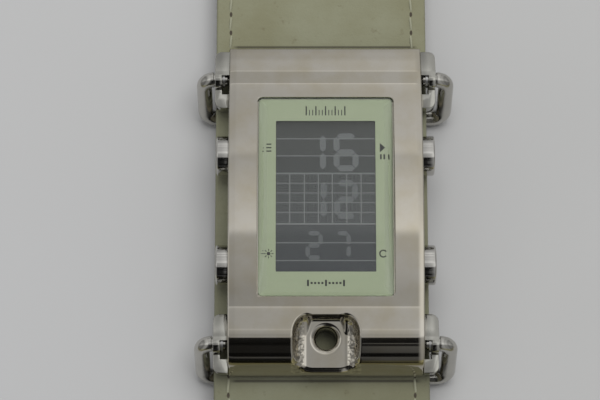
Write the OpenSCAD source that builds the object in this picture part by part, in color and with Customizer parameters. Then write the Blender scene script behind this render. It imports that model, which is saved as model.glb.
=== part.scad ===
// A wristwatch with a digital display, laid flat on a table. The curved steel case lies on a wide
// leather strap, which passes under the case and over the bars of two wire rings.
// X runs across the wrist, Y towards 12 o'clock and Z up. The table is at Z = 0 and the case's
// middle is at X = 0, Y = 0. All sizes are in millimetres.

/* [Front plate] */
// Width of the front plate across the wrist
plate_w = 30; // [29.6:0.1:32]
// Radius of the curved front
face_r = 75; // [68:1:95]
// Distance from the middle to the end of the curved front at 12 o'clock
face_top_y = 19.55; // [19.3:0.05:20.2]
// Length of the inner facet at 12 o'clock, along Y
inner_facet_run = 2.2; // [1.6:0.1:2.8]
// Slope of the inner facet, in degrees
inner_facet_slope = 19.5; // [17:0.5:22]
// Length of the outer facet at 12 o'clock, along Y
outer_facet_run = 4.35; // [3.8:0.05:5]
// Slope of the outer facet, in degrees
outer_facet_slope = 27; // [24:0.5:30]
// Distance from the middle to the end of the curved front at 6 o'clock
face_low_y = 15.7; // [15.4:0.05:16.4]
// Length of the flat shelf at 6 o'clock, along Y
shelf_run = 3.7; // [3.4:0.1:4.2]
// Drop of the shelf over its length
shelf_drop = 0.06; // [0:0.02:0.2]
// Radius of the polished roll at 6 o'clock
roll_r = 5.7; // [5.4:0.1:6]
// How far the plate's two ends hang below the case middle
plate_hang = 0.5; // [0.2:0.1:0.7]

/* [Lanyard socket] */
// Width of the socket at 6 o'clock
socket_w = 10.7; // [9.5:0.1:12]
// Width of the socket's flat floor
socket_floor_w = 6; // [5.4:0.1:7]
// Distance from the middle to the socket's upper end
socket_top_y = 16.7; // [16.5:0.1:17]
// Corner radius at the socket's upper end
socket_corner_r = 2.4; // [1.5:0.1:3]
// Slope of the socket's floor, in degrees
socket_slope = 11; // [9:0.5:13]
// Depth of the socket's floor below the shelf, at the hole
socket_depth = 2.65; // [2.4:0.05:2.9]
// Distance from the middle to the hole
hole_y = 20.3; // [20:0.1:20.8]
// Radius of the lanyard hole
hole_r = 1.6; // [1.2:0.1:1.8]
// Radius of the hole's countersunk mouth
hole_mouth_r = 2.44; // [2.2:0.02:2.7]
// Depth of the hole's countersunk mouth
hole_mouth_depth = 0.85; // [0.6:0.05:1.2]

/* [Crystal] */
// Width of the steel on each side of the crystal
side_border = 4.55; // [4.45:0.05:4.75]
// Length of the crystal
crystal_l = 31.2; // [30.6:0.1:31.4]
// Place of the crystal's middle along Y
crystal_y = 1.5; // [1.3:0.05:1.6]
// Corner radius of the crystal
crystal_corner_r = 0.7; // [0.4:0.1:1.2]
// Thickness of the crystal at the watch's middle
crystal_t = 2.9; // [2.8:0.1:3.6]
// Gap around the crystal in its opening
crystal_fit = 0.1; // [0.05:0.01:0.15]
// Width of the bevel along the crystal's long sides
crystal_bevel_w = 1.2; // [0.6:0.1:1.6]
// Depth of that bevel at the crystal's edge
crystal_bevel_d = 0.15; // [0.05:0.05:0.3]
// Width of the ledge that the crystal seats on
ledge_w = 1; // [0.7:0.05:1.05]
// Thickness of that ledge
ledge_t = 1; // [0.8:0.1:1.2]
// Thickness of the crystal's gasket
crystal_gasket_t = 0.3; // [0.2:0.05:0.4]
// Thickness of the coloured mask under the crystal
mask_t = 0.2; // [0.1:0.05:0.3]
// Width of the mask on each side of its window
mask_side_border = 2.75; // [2.55:0.05:3.15]
// Length of the mask's window
window_l = 23.5; // [22.6:0.1:24]
// Place of the window's middle along Y
window_y = 1.6; // [1.5:0.05:1.8]

/* [Module] */
// Thickness of the display glass
lcd_t = 1.2; // [1:0.1:1.4]
// How far the display glass reaches past the window on each side
lcd_border = 1; // [0.9:0.05:1.1]
// Air gap between the mask and the display glass
lcd_gap = 0.4; // [0.2:0.05:0.6]
// Thickness of the backlight panel
backlight_t = 0.4; // [0.3:0.05:0.6]
// Thickness of the module frame's web
web_t = 0.3; // [0.3:0.05:0.5]
// Thickness of the module frame's side walls
frame_wall = 1; // [0.7:0.1:1.1]
// Gap between the module frame and the case on each side
frame_side_gap = 1.7; // [1.65:0.05:1.8]
// Gap between the module frame and the case at each end
frame_end_gap = 0.4; // [0.2:0.05:0.6]
// Thickness of the circuit board
board_t = 0.6; // [0.5:0.1:0.8]
// Gap around the circuit board in the module frame
board_fit = 0.1; // [0.05:0.01:0.2]
// Gap between the battery and the module frame's wall on each side
battery_side_gap = 0.9; // [0.8:0.05:1.4]
// Thickness of the battery
battery_t = 2; // [1.9:0.1:2.5]
// Place of the battery's middle along Y
battery_y = -5.2; // [-5.6:0.1:-4.6]
// Diameter of the buzzer disc
buzzer_d = 12; // [9:0.5:12.5]
// Thickness of the buzzer disc
buzzer_t = 0.2; // [0.15:0.05:0.25]
// Width of the driver chip, which is square
chip_w = 6; // [4:0.5:7]
// Thickness of the driver chip
chip_t = 0.9; // [0.6:0.1:1.2]
// Sideways distance from the middle to the driver chip
chip_x = 2.5; // [1.5:0.1:4]
// Radius of the quartz can
can_r = 0.95; // [0.7:0.05:1]
// Length of the quartz can
can_l = 6; // [5:0.5:6.5]
// Sideways distance from the middle to the quartz can
can_x = 4.6; // [3:0.1:6]

/* [Case middle and back] */
// How far the case middle's side lies inside the front plate's side
middle_side_inset = 0.3; // [0.25:0.05:0.5]
// Place of the case middle's middle along Y
middle_y = 0.5; // [0.45:0.05:0.6]
// Thickness of the case middle's wall on each side of the cavity
side_wall = 3.1; // [3.05:0.05:3.2]
// Length of the cavity for the module
cavity_l = 31.6; // [31.3:0.1:31.9]
// Thickness of the case middle's wall at each end of the cavity
end_wall = 2.2; // [2:0.05:2.25]
// Length of the tall rails that hold the pushers
rail_l = 25.2; // [24:0.2:26]
// Thickness of the case back
back_t = 1; // [0.9:0.1:1.4]
// How far the case back's edge lies inside the case middle's side
back_side_inset = 0.3; // [0.2:0.05:0.4]
// How far the case back's edge lies inside the case middle's end
back_end_inset = 0.4; // [0.2:0.05:0.5]
// Width of the case back's gasket
back_gasket_w = 0.6; // [0.4:0.05:0.6]
// Height of the case back's gasket
back_gasket_h = 0.5; // [0.3:0.05:0.5]
// Gap between the case back and the strap
back_gap = 0.3; // [0.2:0.05:0.6]
// Distance from the case middle's side to each case screw's axis
screw_side_inset = 1.55; // [1.5:0.05:1.65]
// Distance from the case middle's end to each case screw's axis
screw_end_inset = 2.4; // [2.2:0.1:2.5]
// Radius of a case screw's thread
screw_r = 0.6; // [0.5:0.05:0.65]
// Radius of a case screw's head
screw_head_r = 1.05; // [0.9:0.05:1.1]
// Height of a case screw's head
screw_head_h = 0.6; // [0.4:0.05:0.65]
// Length of the case screw in the front plate
screw_grip = 1.8; // [1.4:0.1:2]

/* [Pushers] */
// Distance from the middle to each row of pushers
pusher_y = 8.65; // [8.5:0.05:8.9]
// Height of a pusher's axis above the case back
pusher_h = 2.5; // [2.4:0.05:2.7]
// Radius of a pusher's cap
cap_r = 3.1; // [2.8:0.05:3.15]
// Length of a pusher's cap
cap_len = 2.2; // [2:0.1:2.3]
// How far the cap stands out beside the front plate
cap_proud = 2; // [1.9:0.05:2.1]
// Travel of a pusher
pusher_travel = 0.8; // [0.5:0.05:0.8]
// Radius of a pusher's stem
stem_r = 1; // [0.8:0.05:1.05]
// Radial clearance of a pusher's stem
stem_fit = 0.05; // [0.02:0.01:0.08]
// How far the stem reaches into the cavity
stem_reach = 0.7; // [0.6:0.05:0.72]
// Thickness of the pusher's seal
seal_d = 0.8; // [0.6:0.05:0.8]
// Radius of the spring's wire
spring_wire_r = 0.13; // [0.1:0.01:0.14]
// Turns in each pusher spring
spring_turns = 3; // [2:1:3]

/* [Lugs and rings] */
// Distance from the middle to each ring's pivot
pivot_y = 20.9; // [20.6:0.05:21.2]
// Height of the ring pivots above the case back
pivot_h = 2.8; // [2.7:0.05:2.9]
// Width of a lug beside the plate
lug_w = 2.3; // [2.2:0.05:2.5]
// Length of a lug's sloping block, from the ring's pivot
lug_block_l = 4.6; // [4.2:0.1:4.8]
// Length of a lug's low foot, from the ring's pivot
lug_foot_l = 4.6; // [4.2:0.1:4.8]
// Drop of the block's top towards its end
lug_block_drop = 1.8; // [1.4:0.1:2.2]
// Drop of the foot's top below the block's
lug_foot_drop = 1.1; // [0.9:0.1:1.2]
// Radius of the knuckle round the ring's pin
knuckle_r = 1.75; // [1.7:0.05:1.9]
// Corner radius of a lug
lug_corner_r = 1.1; // [0.8:0.05:1.3]
// Width of the notch between a lug's knuckle and the plate
notch_w = 1.2; // [1.1:0.05:1.3]
// Length of that notch, from the ring's pivot towards the foot
notch_l = 2.4; // [2.2:0.1:2.8]
// Diameter of the ring wire
ring_wire_d = 2.4; // [2.2:0.05:2.6]
// Distance from a ring's pivot to its bar
ring_len = 9.3; // [9.2:0.05:9.6]
// Radius of a ring's bend at the lug
ring_bend_r = 1.6; // [1.4:0.05:1.8]
// Radius of a ring's bend at the bar
ring_corner_r = 2; // [1.7:0.05:2.1]
// Radius of a ring's pin
pin_r = 1; // [0.85:0.05:1.1]
// Radial clearance of a ring's pin in its lug
pin_fit = 0.05; // [0.02:0.01:0.08]
// Gap between the lug and the ring's shoulder
ring_side_gap = 0.2; // [0.15:0.05:0.3]
// Gap between the ring bars and the strap
ring_strap_gap = 0.4; // [0.35:0.05:0.6]

/* [Strap] */
// Length over everything, from the strap's tip to the buckle
strap_l = 244; // [236:1:256]
// Gap between the strap's nearer edge and the rings' arms
strap_side_gap = 0.55; // [0.4:0.05:1.3]
// Width of the strap at its two ends
strap_end_w = 28; // [26:0.5:29]
// Sideways place of the strap's middle
strap_x = -0.6; // [-0.7:0.05:-0.3]
// Thickness of the outer leather
leather_t = 1.4; // [1.2:0.1:1.6]
// Thickness of the leather lining
lining_t = 1.2; // [1:0.1:1.3]
// Length of the strap's level stretch towards 6 o'clock
level_low = 38; // [34:1:40]
// Length of the strap's level stretch towards 12 o'clock
level_top = 34; // [32:1:38]
// Length of each slope where the strap comes down to the table
slope_run = 20; // [16:1:22]
// Number of punched holes in the tail
hole_count = 7; // [5:1:7]
// Distance between the punched holes
hole_pitch = 7; // [6:0.5:7]
// Radius of a punched hole
punch_r = 1.1; // [0.9:0.05:1.3]
// Distance from the tip to the first punched hole
hole_setback = 16; // [14:1:18]
// Thickness of a leather keeper
keeper_t = 1.2; // [1:0.1:1.3]
// Width of a leather keeper
keeper_w = 6; // [5:0.5:6.5]
// Gap between a keeper and the strap at the sides
keeper_gap = 0.4; // [0.3:0.05:0.6]
// Free height left in a keeper for the tail
keeper_room = 3.1; // [2.9:0.1:3.6]
// Distance from the buckle's bar to the middle of the fixed keeper
keeper_setback = 11; // [10:0.5:14]
// Distance between the middles of the two keepers
keeper_spacing = 13; // [12:0.5:20]

/* [Buckle] */
// Diameter of the buckle's wire
buckle_wire_d = 2.6; // [2.4:0.1:2.8]
// Distance from the buckle's bar to its front
buckle_len = 10.7; // [10:0.1:12]
// Radius of the buckle's corners
buckle_corner_r = 3; // [2.2:0.1:3.4]
// Gap between the strap and the buckle at the sides
buckle_side_gap = 0.6; // [0.5:0.05:0.8]
// Radius of the buckle's bar
bar_r = 0.8; // [0.7:0.05:0.9]
// Clearance of the leather loop around the bar
bar_fit = 0.15; // [0.1:0.01:0.2]
// Radius of the buckle's tongue
tongue_r = 0.8; // [0.7:0.05:0.9]
// Width of the tongue's root
tongue_root_w = 2.4; // [2:0.1:2.6]

/* [Hidden] */

// Fineness of round shapes, and of the large arc of the front
$fn = 64;
arc_fn = 360;
// How far a cutting shape runs past what it cuts
over = 1;
// Small gap between pieces that nearly touch
hair = 0.05;

// Heights, from the table up to the case back
ring_wire_r = ring_wire_d / 2;
strap_t = leather_t + lining_t;
strap_low_z = ring_wire_d + ring_strap_gap;
strap_top_z = strap_low_z + strap_t;
back_z = strap_top_z + back_gap;
middle_z = back_z + back_t;
end_z = middle_z - plate_hang;

// Heights of the module, stacked on the case back
clip_t = 0.15;
battery_z = middle_z + clip_t + 2 * hair;
board_z = battery_z + battery_t + hair;
web_z = board_z + board_t;
backlight_z = web_z + web_t;
lcd_z = backlight_z + backlight_t;

// Heights of the window, stacked on the module
mask_z = lcd_z + lcd_t + lcd_gap;
ledge_z = mask_z - crystal_gasket_t;
deck_z = ledge_z - ledge_t;
crystal_z = mask_z + mask_t;
top_z = crystal_z + crystal_t;

// Height of the curved front at a distance y from the middle
function face_z(y) = top_z - face_r + sqrt(face_r * face_r - y * y);

// Corners of the front plate's side outline
inner_facet_z = face_z(face_top_y);
outer_facet_y = face_top_y + inner_facet_run;
outer_facet_z = inner_facet_z - inner_facet_run * tan(inner_facet_slope);
plate_top_y = outer_facet_y + outer_facet_run;
plate_top_z = outer_facet_z - outer_facet_run * tan(outer_facet_slope);
shelf_z = face_z(face_low_y);
roll_y = face_low_y + shelf_run;
roll_z = shelf_z - shelf_drop - roll_r;

// Widths that follow the front plate's
crystal_w = plate_w - 2 * side_border;
window_w = crystal_w - 2 * mask_side_border;
middle_w = plate_w - 2 * middle_side_inset;
cavity_w = middle_w - 2 * side_wall;
frame_w = cavity_w - 2 * frame_side_gap;
battery_d = frame_w - 2 * frame_wall - 2 * battery_side_gap;

// The ledge's opening, the mask and the display glass
opening_w = crystal_w + 2 * crystal_fit;
opening_l = crystal_l + 2 * crystal_fit;
ledge_open_w = crystal_w - 2 * ledge_w;
ledge_open_l = crystal_l - 2 * ledge_w;
lcd_w = window_w + 2 * lcd_border;
lcd_l = window_l + 2 * lcd_border;
// The zebra strips lie under the two ends of the display glass
zebra_w = 0.9;
zebra_y = lcd_l / 2 - zebra_w / 2 - hair;
zebra_len = lcd_w - 2;
backlight_l = 2 * zebra_y - zebra_w - 0.6;
// Gap between the case middle and the front plate's ends
plate_fit = 0.05;
// Sizes that follow the cavity in the case middle
middle_l = cavity_l + 2 * end_wall;
back_w = middle_w - 2 * back_side_inset;
back_l = middle_l - 2 * back_end_inset;
screw_x = middle_w / 2 - screw_side_inset;
screw_spacing = middle_l - 2 * screw_end_inset;
frame_l = cavity_l - 2 * frame_end_gap;
// Height of the module frame's lower edge above the case back
frame_foot = 0.7;
board_w = frame_w - 2 * frame_wall - 2 * board_fit;
board_l = frame_l - 2 * frame_wall - 2 * board_fit;

// Pushers, measured along X from the middle of the watch
pusher_z = middle_z + pusher_h;
rail_z = pusher_z + cap_r;
cap_fit = 0.1;
cap_tip_x = plate_w / 2 + cap_proud;
cap_x = cap_tip_x - cap_len;
cap_floor_x = cap_x - pusher_travel - cap_fit;
stem_tip_x = cavity_w / 2 - stem_reach;
seal_x = cavity_w / 2 + 0.4;
recess_r = stem_r + stem_fit + seal_d;
seal_ring_r = stem_r + stem_fit + seal_d / 2;
spring_x = seal_x + seal_d + hair;
spring_l = cap_x - spring_x - hair;
spring_r = seal_ring_r;
// The clip snaps into a groove around the stem or pin
clip_w = 0.25;
groove_cut = 0.3;
clip_reach = 0.3;
leaf_t = 0.12;
leaf_x = frame_w / 2;

// Lugs and rings
pivot_z = middle_z + pivot_h;
lug_x = plate_w / 2;
lug_z = middle_z - 0.3;
ring_bend_x = lug_x + lug_w + ring_side_gap;
ring_arm_x = ring_bend_x + ring_bend_r;
ring_lean = acos((pivot_z - ring_wire_r) / ring_len);
pin_x = lug_x + 0.25;
ring_clip_w = 0.35;
ring_clip_x = lug_x + notch_w - ring_clip_w - 0.1;
ring_clip_r = pin_r + 0.3;

// Strap, keepers and buckle
strap_w = 2 * (ring_arm_x - ring_wire_r - strap_side_gap - abs(strap_x));
half_l = strap_l / 2;
tail_z = 0;
head_z = keeper_t;
taper_y = 46;
head_taper_end = 76;
tail_taper_end = 96;
loop_r = bar_r + bar_fit + lining_t;
bar_z = head_z + loop_r;
buckle_wire_r = buckle_wire_d / 2;
buckle_tilt = asin((bar_z - buckle_wire_r) / buckle_len);
bar_y = half_l - buckle_wire_r - buckle_len * cos(buckle_tilt);
loop_rise_run = 12;
flap_l = 18;
slope_steps = 10;
buckle_side_x = strap_end_w / 2 + buckle_side_gap + buckle_wire_r;
buckle_eye_r = 1.9;
buckle_eye_w = buckle_wire_d + 0.3;
fixed_keeper_y = bar_y - keeper_setback;
free_keeper_y = fixed_keeper_y - keeper_spacing;
tongue_slot_w = tongue_root_w + 0.8;
tongue_lift = 1.05;
tongue_over = 0.8;

// A side outline drawn in Y and Z, made w thick and centred on X = 0
module across(w) {
  rotate([90, 0, 90]) translate([0, 0, -w / 2]) linear_extrude(w) children();
}

// A cylinder along X, from x0 to x1
module rod(x0, x1, r) {
  translate([x0, 0, 0]) rotate([0, 90, 0]) cylinder(r = r, h = x1 - x0);
}

// A rectangle with round corners, centred
module round_rect(w, l, r) {
  square([w - 2 * r, l], center = true);
  square([w, l - 2 * r], center = true);
  for (x = [-1, 1]) {
    for (y = [-1, 1]) translate([x * (w / 2 - r), y * (l / 2 - r)]) circle(r = r);
  }
}

// A block with round vertical edges, centred on X and y, from z0 to z1
module slab(w, l, r, y, z0, z1) {
  translate([0, y, z0]) linear_extrude(z1 - z0) round_rect(w, l, r);
}

// A plain block, centred on X and y, from z0 to z1
module block(w, l, y, z0, z1) {
  translate([-w / 2, y - l / 2, z0]) cube([w, l, z1 - z0]);
}

module mirror_x() {
  children();
  mirror([1, 0, 0]) children();
}

// Side outline of the front plate
module plate_outline() {
  low_y = roll_y + roll_r;
  difference() {
    polygon([
      [-low_y, end_z], [-low_y, roll_z + roll_r], [-roll_y, roll_z + roll_r],
      [-face_low_y, shelf_z], [-face_low_y, top_z + over], [face_top_y, top_z + over],
      [face_top_y, inner_facet_z], [outer_facet_y, outer_facet_z],
      [plate_top_y, plate_top_z], [plate_top_y, end_z]
    ]);
    difference() {
      translate([-face_low_y, end_z]) square([face_low_y + face_top_y, top_z]);
      translate([0, top_z - face_r]) circle(r = face_r, $fn = arc_fn);
    }
    difference() {
      translate([-low_y - over, roll_z]) square([roll_r + over, roll_r + over]);
      translate([-roll_y, roll_z]) circle(r = roll_r);
    }
  }
}

// The socket's hollow. Its floor slopes down to 6 o'clock and curves up at both sides.
module socket_hollow() {
  cove_r = (socket_w - socket_floor_w) / 2;
  reach = 12;
  intersection() {
    translate([0, -hole_y, roll_z + roll_r - socket_depth]) rotate([socket_slope, 0, 0]) {
      translate([0, reach, 0]) rotate([90, 0, 0]) linear_extrude(2 * reach) {
        translate([-socket_floor_w / 2, 0]) square([socket_floor_w, reach]);
        for (x = [-1, 1]) translate([x * socket_floor_w / 2, cove_r]) circle(r = cove_r);
        translate([-socket_w / 2, cove_r]) square([socket_w, reach]);
      }
    }
    translate([0, -socket_top_y - reach, end_z]) {
      linear_extrude(reach + over) round_rect(socket_w, 2 * reach, socket_corner_r);
    }
  }
}

// The bore, the seal's recess and the cap's pocket of the pusher on the +X side
module pusher_holes() {
  for (y = [-pusher_y, pusher_y]) {
    translate([0, y, pusher_z]) {
      rod(cavity_w / 2 - over, seal_x + over, stem_r + stem_fit);
      rod(seal_x, cap_floor_x + over, recess_r);
      rod(cap_floor_x, plate_w / 2 + over, cap_r + cap_fit);
    }
  }
}

// Vertical holes at the four case screws
module screw_holes(r, z0, z1) {
  for (x = [-screw_x, screw_x]) {
    for (y = [-1, 1]) {
      translate([x, middle_y + y * screw_spacing / 2, z0]) cylinder(r = r, h = z1 - z0);
    }
  }
}

module front_plate() {
  color("silver") difference() {
    across(plate_w) plate_outline();
    slab(opening_w, opening_l, crystal_corner_r + crystal_fit, crystal_y, ledge_z, top_z + over);
    slab(ledge_open_w, ledge_open_l, crystal_corner_r, crystal_y, end_z, top_z);
    block(plate_w + 2 * over, middle_l + 2 * plate_fit, middle_y, end_z - over, deck_z);
    mirror_x() translate([cavity_w / 2 - plate_fit, -rail_l / 2 - plate_fit, deck_z - over]) {
      cube([plate_w, rail_l + 2 * plate_fit, rail_z - deck_z + over]);
    }
    mirror_x() pusher_holes();
    screw_holes(screw_r, deck_z - over, deck_z + screw_grip + hair);
    socket_hollow();
    translate([0, -hole_y, end_z - over]) cylinder(r = hole_r, h = roll_r + roll_z - end_z);
    translate([0, -hole_y, roll_z + roll_r - socket_depth - hole_mouth_depth]) {
      cylinder(r1 = hole_r, r2 = hole_mouth_r, h = hole_mouth_depth);
    }
    translate([0, -hole_y, roll_z + roll_r - socket_depth]) cylinder(r = hole_mouth_r, h = socket_depth);
  }
}

module case_middle() {
  color("lightslategray") difference() {
    union() {
      block(middle_w, middle_l, middle_y, middle_z, deck_z);
      mirror_x() translate([cavity_w / 2 - over, -rail_l / 2, middle_z]) {
        cube([middle_w / 2 - cavity_w / 2 + over, rail_l, rail_z - middle_z]);
      }
    }
    block(cavity_w, cavity_l, middle_y, middle_z - over, rail_z + over);
    mirror_x() pusher_holes();
    screw_holes(screw_r + hair, middle_z - over, deck_z + over);
    back_gasket_ring(middle_z - over, middle_z + back_gasket_h);
  }
}

// The ring in which the case back's gasket lies, just outside the cavity
module back_gasket_ring(z0, z1) {
  inset = 0.15;
  w = cavity_w + 2 * inset;
  l = cavity_l + 2 * inset;
  r = 0.6;
  difference() {
    slab(w + 2 * back_gasket_w, l + 2 * back_gasket_w, r + back_gasket_w, middle_y, z0, z1);
    slab(w, l, r, middle_y, z0 - over, z1 + over);
  }
}

// The case back, with a notch under each pusher's cap
module case_back() {
  color("gray") difference() {
    slab(back_w, back_l, 1.4, middle_y, back_z, middle_z);
    mirror_x() pusher_holes();
    screw_holes(screw_r + hair, back_z - over, middle_z + over);
    screw_holes(screw_head_r + hair, back_z - over, back_z + screw_head_h);
  }
}

module back_gasket() {
  color("black") back_gasket_ring(middle_z, middle_z + back_gasket_h);
}

// Four slotted screws that hold the case back, the case middle and the front plate together
module case_screws() {
  slot_w = 0.25;
  slot_d = 0.25;
  color("dimgray") for (x = [-screw_x, screw_x]) {
    for (y = [-1, 1]) {
      translate([x, middle_y + y * screw_spacing / 2, back_z]) difference() {
        union() {
          cylinder(r = screw_head_r, h = screw_head_h);
          cylinder(r = screw_r, h = deck_z + screw_grip - back_z);
        }
        translate([-slot_w / 2, -screw_head_r, -over]) cube([slot_w, 2 * screw_head_r, slot_d + over]);
      }
    }
  }
}

// The glass, with its top flush with the curved front and a bevel along each long side
module crystal() {
  color("palegreen", 0.4) difference() {
    intersection() {
      slab(crystal_w, crystal_l, crystal_corner_r, crystal_y, crystal_z, top_z + over);
      across(crystal_w + over) translate([0, top_z - face_r]) circle(r = face_r, $fn = arc_fn);
    }
    mirror_x() crystal_bevel();
  }
}

// A thin wedge under a shallower arc, which bevels the crystal's long side
module crystal_bevel() {
  wedge = atan(crystal_bevel_d / crystal_bevel_w);
  translate([crystal_w / 2 - crystal_bevel_w, 0, top_z]) rotate([0, wedge, 0]) {
    translate([crystal_w / 2, 0, 0]) across(crystal_w) difference() {
      translate([crystal_y - crystal_l, -crystal_t]) square([2 * crystal_l, crystal_t + over]);
      translate([0, -face_r]) circle(r = face_r, $fn = arc_fn);
    }
  }
}

module crystal_gasket() {
  color("black") difference() {
    slab(crystal_w, crystal_l, crystal_corner_r, crystal_y, ledge_z, mask_z);
    slab(ledge_open_w, ledge_open_l, crystal_corner_r, crystal_y, ledge_z - over, mask_z + over);
  }
}

module dial_mask() {
  color("darkseagreen") difference() {
    slab(crystal_w, crystal_l, crystal_corner_r, crystal_y, mask_z, crystal_z);
    block(window_w, window_l, window_y, mask_z - over, crystal_z + over);
  }
}

module lcd_panel() {
  color("dimgray") block(lcd_w, lcd_l, window_y, lcd_z, lcd_z + lcd_t);
}

// Two rubber strips that join the display glass to the circuit board
module zebra_strips() {
  color("darkgray") for (y = [-1, 1]) {
    block(zebra_len, zebra_w, window_y + y * zebra_y, web_z, lcd_z);
  }
}

module backlight_panel() {
  color("lightcyan") block(lcd_w - 1, backlight_l, window_y, backlight_z, lcd_z);
}

// Plastic frame: the display glass lies in its top, the circuit board in its underside
module module_frame() {
  lip_z = deck_z - hair;
  color("whitesmoke") difference() {
    block(frame_w, frame_l, middle_y, middle_z + frame_foot, lip_z);
    block(lcd_w + 2 * hair, lcd_l + 2 * hair, window_y, backlight_z, lip_z + over);
    block(lcd_w - 3, backlight_l - 3, window_y, web_z - over, lip_z);
    for (y = [-1, 1]) {
      block(zebra_len + 0.2, zebra_w + 0.2, window_y + y * zebra_y, web_z - over, lip_z);
    }
    block(frame_w - 2 * frame_wall, frame_l - 2 * frame_wall, middle_y, middle_z, web_z);
  }
}

module circuit_board() {
  color("darkgreen") block(board_w, board_l, middle_y, board_z, web_z);
}

module driver_chip() {
  translate([-chip_x, 0, 0]) {
    color("black") block(chip_w, chip_w, buzzer_y(), board_z - chip_t, board_z);
  }
}

// The quartz crystal in its can, along Y under the circuit board
module quartz_can() {
  color("silver") translate([can_x, buzzer_y() + can_l / 2, board_z - can_r]) {
    rotate([90, 0, 0]) cylinder(r = can_r, h = can_l);
  }
}

// The middle of the space beside the battery
function buzzer_y() = (battery_y + battery_d / 2 + middle_y + cavity_l / 2) / 2;

module battery() {
  can_t = battery_t * 0.8;
  color("gainsboro") translate([0, battery_y, battery_z]) {
    cylinder(r = battery_d / 2, h = can_t);
    cylinder(r = battery_d / 2 - 1.2, h = battery_t);
  }
}

// Metal strap under the battery, bent up to the module frame at both ends
module battery_clip() {
  arm_w = 4;
  foot_z = middle_z + frame_foot;
  color("goldenrod") {
    block(frame_w, arm_w, battery_y, middle_z + hair, middle_z + hair + clip_t);
    mirror_x() translate([frame_w / 2 - frame_wall, battery_y - arm_w / 2, middle_z + hair]) {
      cube([frame_wall, arm_w, foot_z - middle_z - hair]);
    }
  }
}

module buzzer_disc() {
  color("gold") translate([0, buzzer_y(), middle_z]) cylinder(r = buzzer_d / 2, h = buzzer_t);
}

// Four contact leaves on the module frame, each in line with a pusher's stem
module switch_leaves() {
  leaf_l = 3;
  leaf_h = 1.6;
  color("goldenrod") mirror_x() for (y = [-pusher_y, pusher_y]) {
    translate([leaf_x, y - leaf_l / 2, pusher_z - leaf_h / 2]) cube([leaf_t, leaf_l, leaf_h]);
  }
}

module pusher_seals() {
  color("black") mirror_x() for (y = [-pusher_y, pusher_y]) {
    translate([seal_x + seal_d / 2, y, pusher_z]) rotate([0, 90, 0]) {
      rotate_extrude() translate([seal_ring_r, 0]) circle(r = seal_d / 2 - 0.01, $fn = 24);
    }
  }
}

// A cap with its stem, in the place of the pusher on the +X side at 12 o'clock
module pusher_shape() {
  rim = 0.35;
  groove_x = cavity_w / 2 - hair - clip_w;
  translate([0, pusher_y, pusher_z]) rotate([0, 90, 0]) rotate_extrude() polygon([
    [0, stem_tip_x], [stem_r - 0.2, stem_tip_x], [stem_r, stem_tip_x + 0.2],
    [stem_r, groove_x - hair / 2], [stem_r - groove_cut, groove_x - hair / 2],
    [stem_r - groove_cut, groove_x + clip_w + hair / 2], [stem_r, groove_x + clip_w + hair / 2],
    [stem_r, cap_x], [cap_r, cap_x], [cap_r, cap_tip_x - rim], [cap_r - rim, cap_tip_x],
    [0, cap_tip_x]
  ]);
}

// The open clip that keeps the pusher in the case
module clip_shape() {
  translate([cavity_w / 2 - hair - clip_w, pusher_y, pusher_z]) {
    open_ring(stem_r - groove_cut + 0.02, stem_r + clip_reach, clip_w);
  }
}

// A flat ring along X with a gap in its lower side
module open_ring(r0, r1, w) {
  gap = 1.6 * r0;
  difference() {
    rod(0, w, r1);
    rod(-over, w + over, r0);
    translate([-over, -gap / 2, -r1 - over]) cube([w + 2 * over, gap, r1 + over]);
  }
}

// The coil spring between a pusher's seal and its cap: rings of points along a helix
module spring_shape() {
  sides = 6;
  per_turn = 10;
  steps = per_turn * spring_turns;
  rise = spring_l - 2 * spring_wire_r;
  climb = atan(rise / (2 * PI * spring_r * spring_turns));
  points = [
    for (i = [0:steps])
      let (a = 360 * i / per_turn, z = spring_wire_r + rise * i / steps)
        for (j = [0:sides - 1])
          let (b = 360 * j / sides, u = spring_wire_r * cos(b), v = spring_wire_r * sin(b))
            [
              (spring_r + u) * cos(a) + v * sin(climb) * sin(a),
              (spring_r + u) * sin(a) - v * sin(climb) * cos(a),
              z + v * cos(climb)
            ]
  ];
  walls = [
    for (i = [0:steps - 1])
      for (j = [0:sides - 1])
        let (k = (j + 1) % sides, p = i * sides, q = p + sides)
          each [[p + j, q + j, q + k], [p + j, q + k, p + k]]
  ];
  first_end = [for (j = [0:sides - 1]) j];
  last_end = [for (j = [sides - 1:-1:0]) steps * sides + j];
  translate([spring_x, pusher_y, pusher_z]) rotate([0, 90, 0]) {
    polyhedron(points = points, faces = concat(walls, [first_end], [last_end]), convexity = 6);
  }
}

// What is drawn for the right-hand place at 12 o'clock, put in one of the four places
module in_corner(right, top) {
  mirror([right ? 0 : 1, 0, 0]) mirror([0, top ? 0 : 1, 0]) children();
}

module mode_pusher() { color("silver") in_corner(false, true) pusher_shape(); }
module start_pusher() { color("silver") in_corner(true, true) pusher_shape(); }
module light_pusher() { color("silver") in_corner(false, false) pusher_shape(); }
module reset_pusher() { color("silver") in_corner(true, false) pusher_shape(); }
module mode_clip() { color("gray") in_corner(false, true) clip_shape(); }
module start_clip() { color("gray") in_corner(true, true) clip_shape(); }
module light_clip() { color("gray") in_corner(false, false) clip_shape(); }
module reset_clip() { color("gray") in_corner(true, false) clip_shape(); }
module mode_spring() { color("darkgray") in_corner(false, true) spring_shape(); }
module start_spring() { color("darkgray") in_corner(true, true) spring_shape(); }
module light_spring() { color("darkgray") in_corner(false, false) spring_shape(); }
module reset_spring() { color("darkgray") in_corner(true, false) spring_shape(); }

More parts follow.
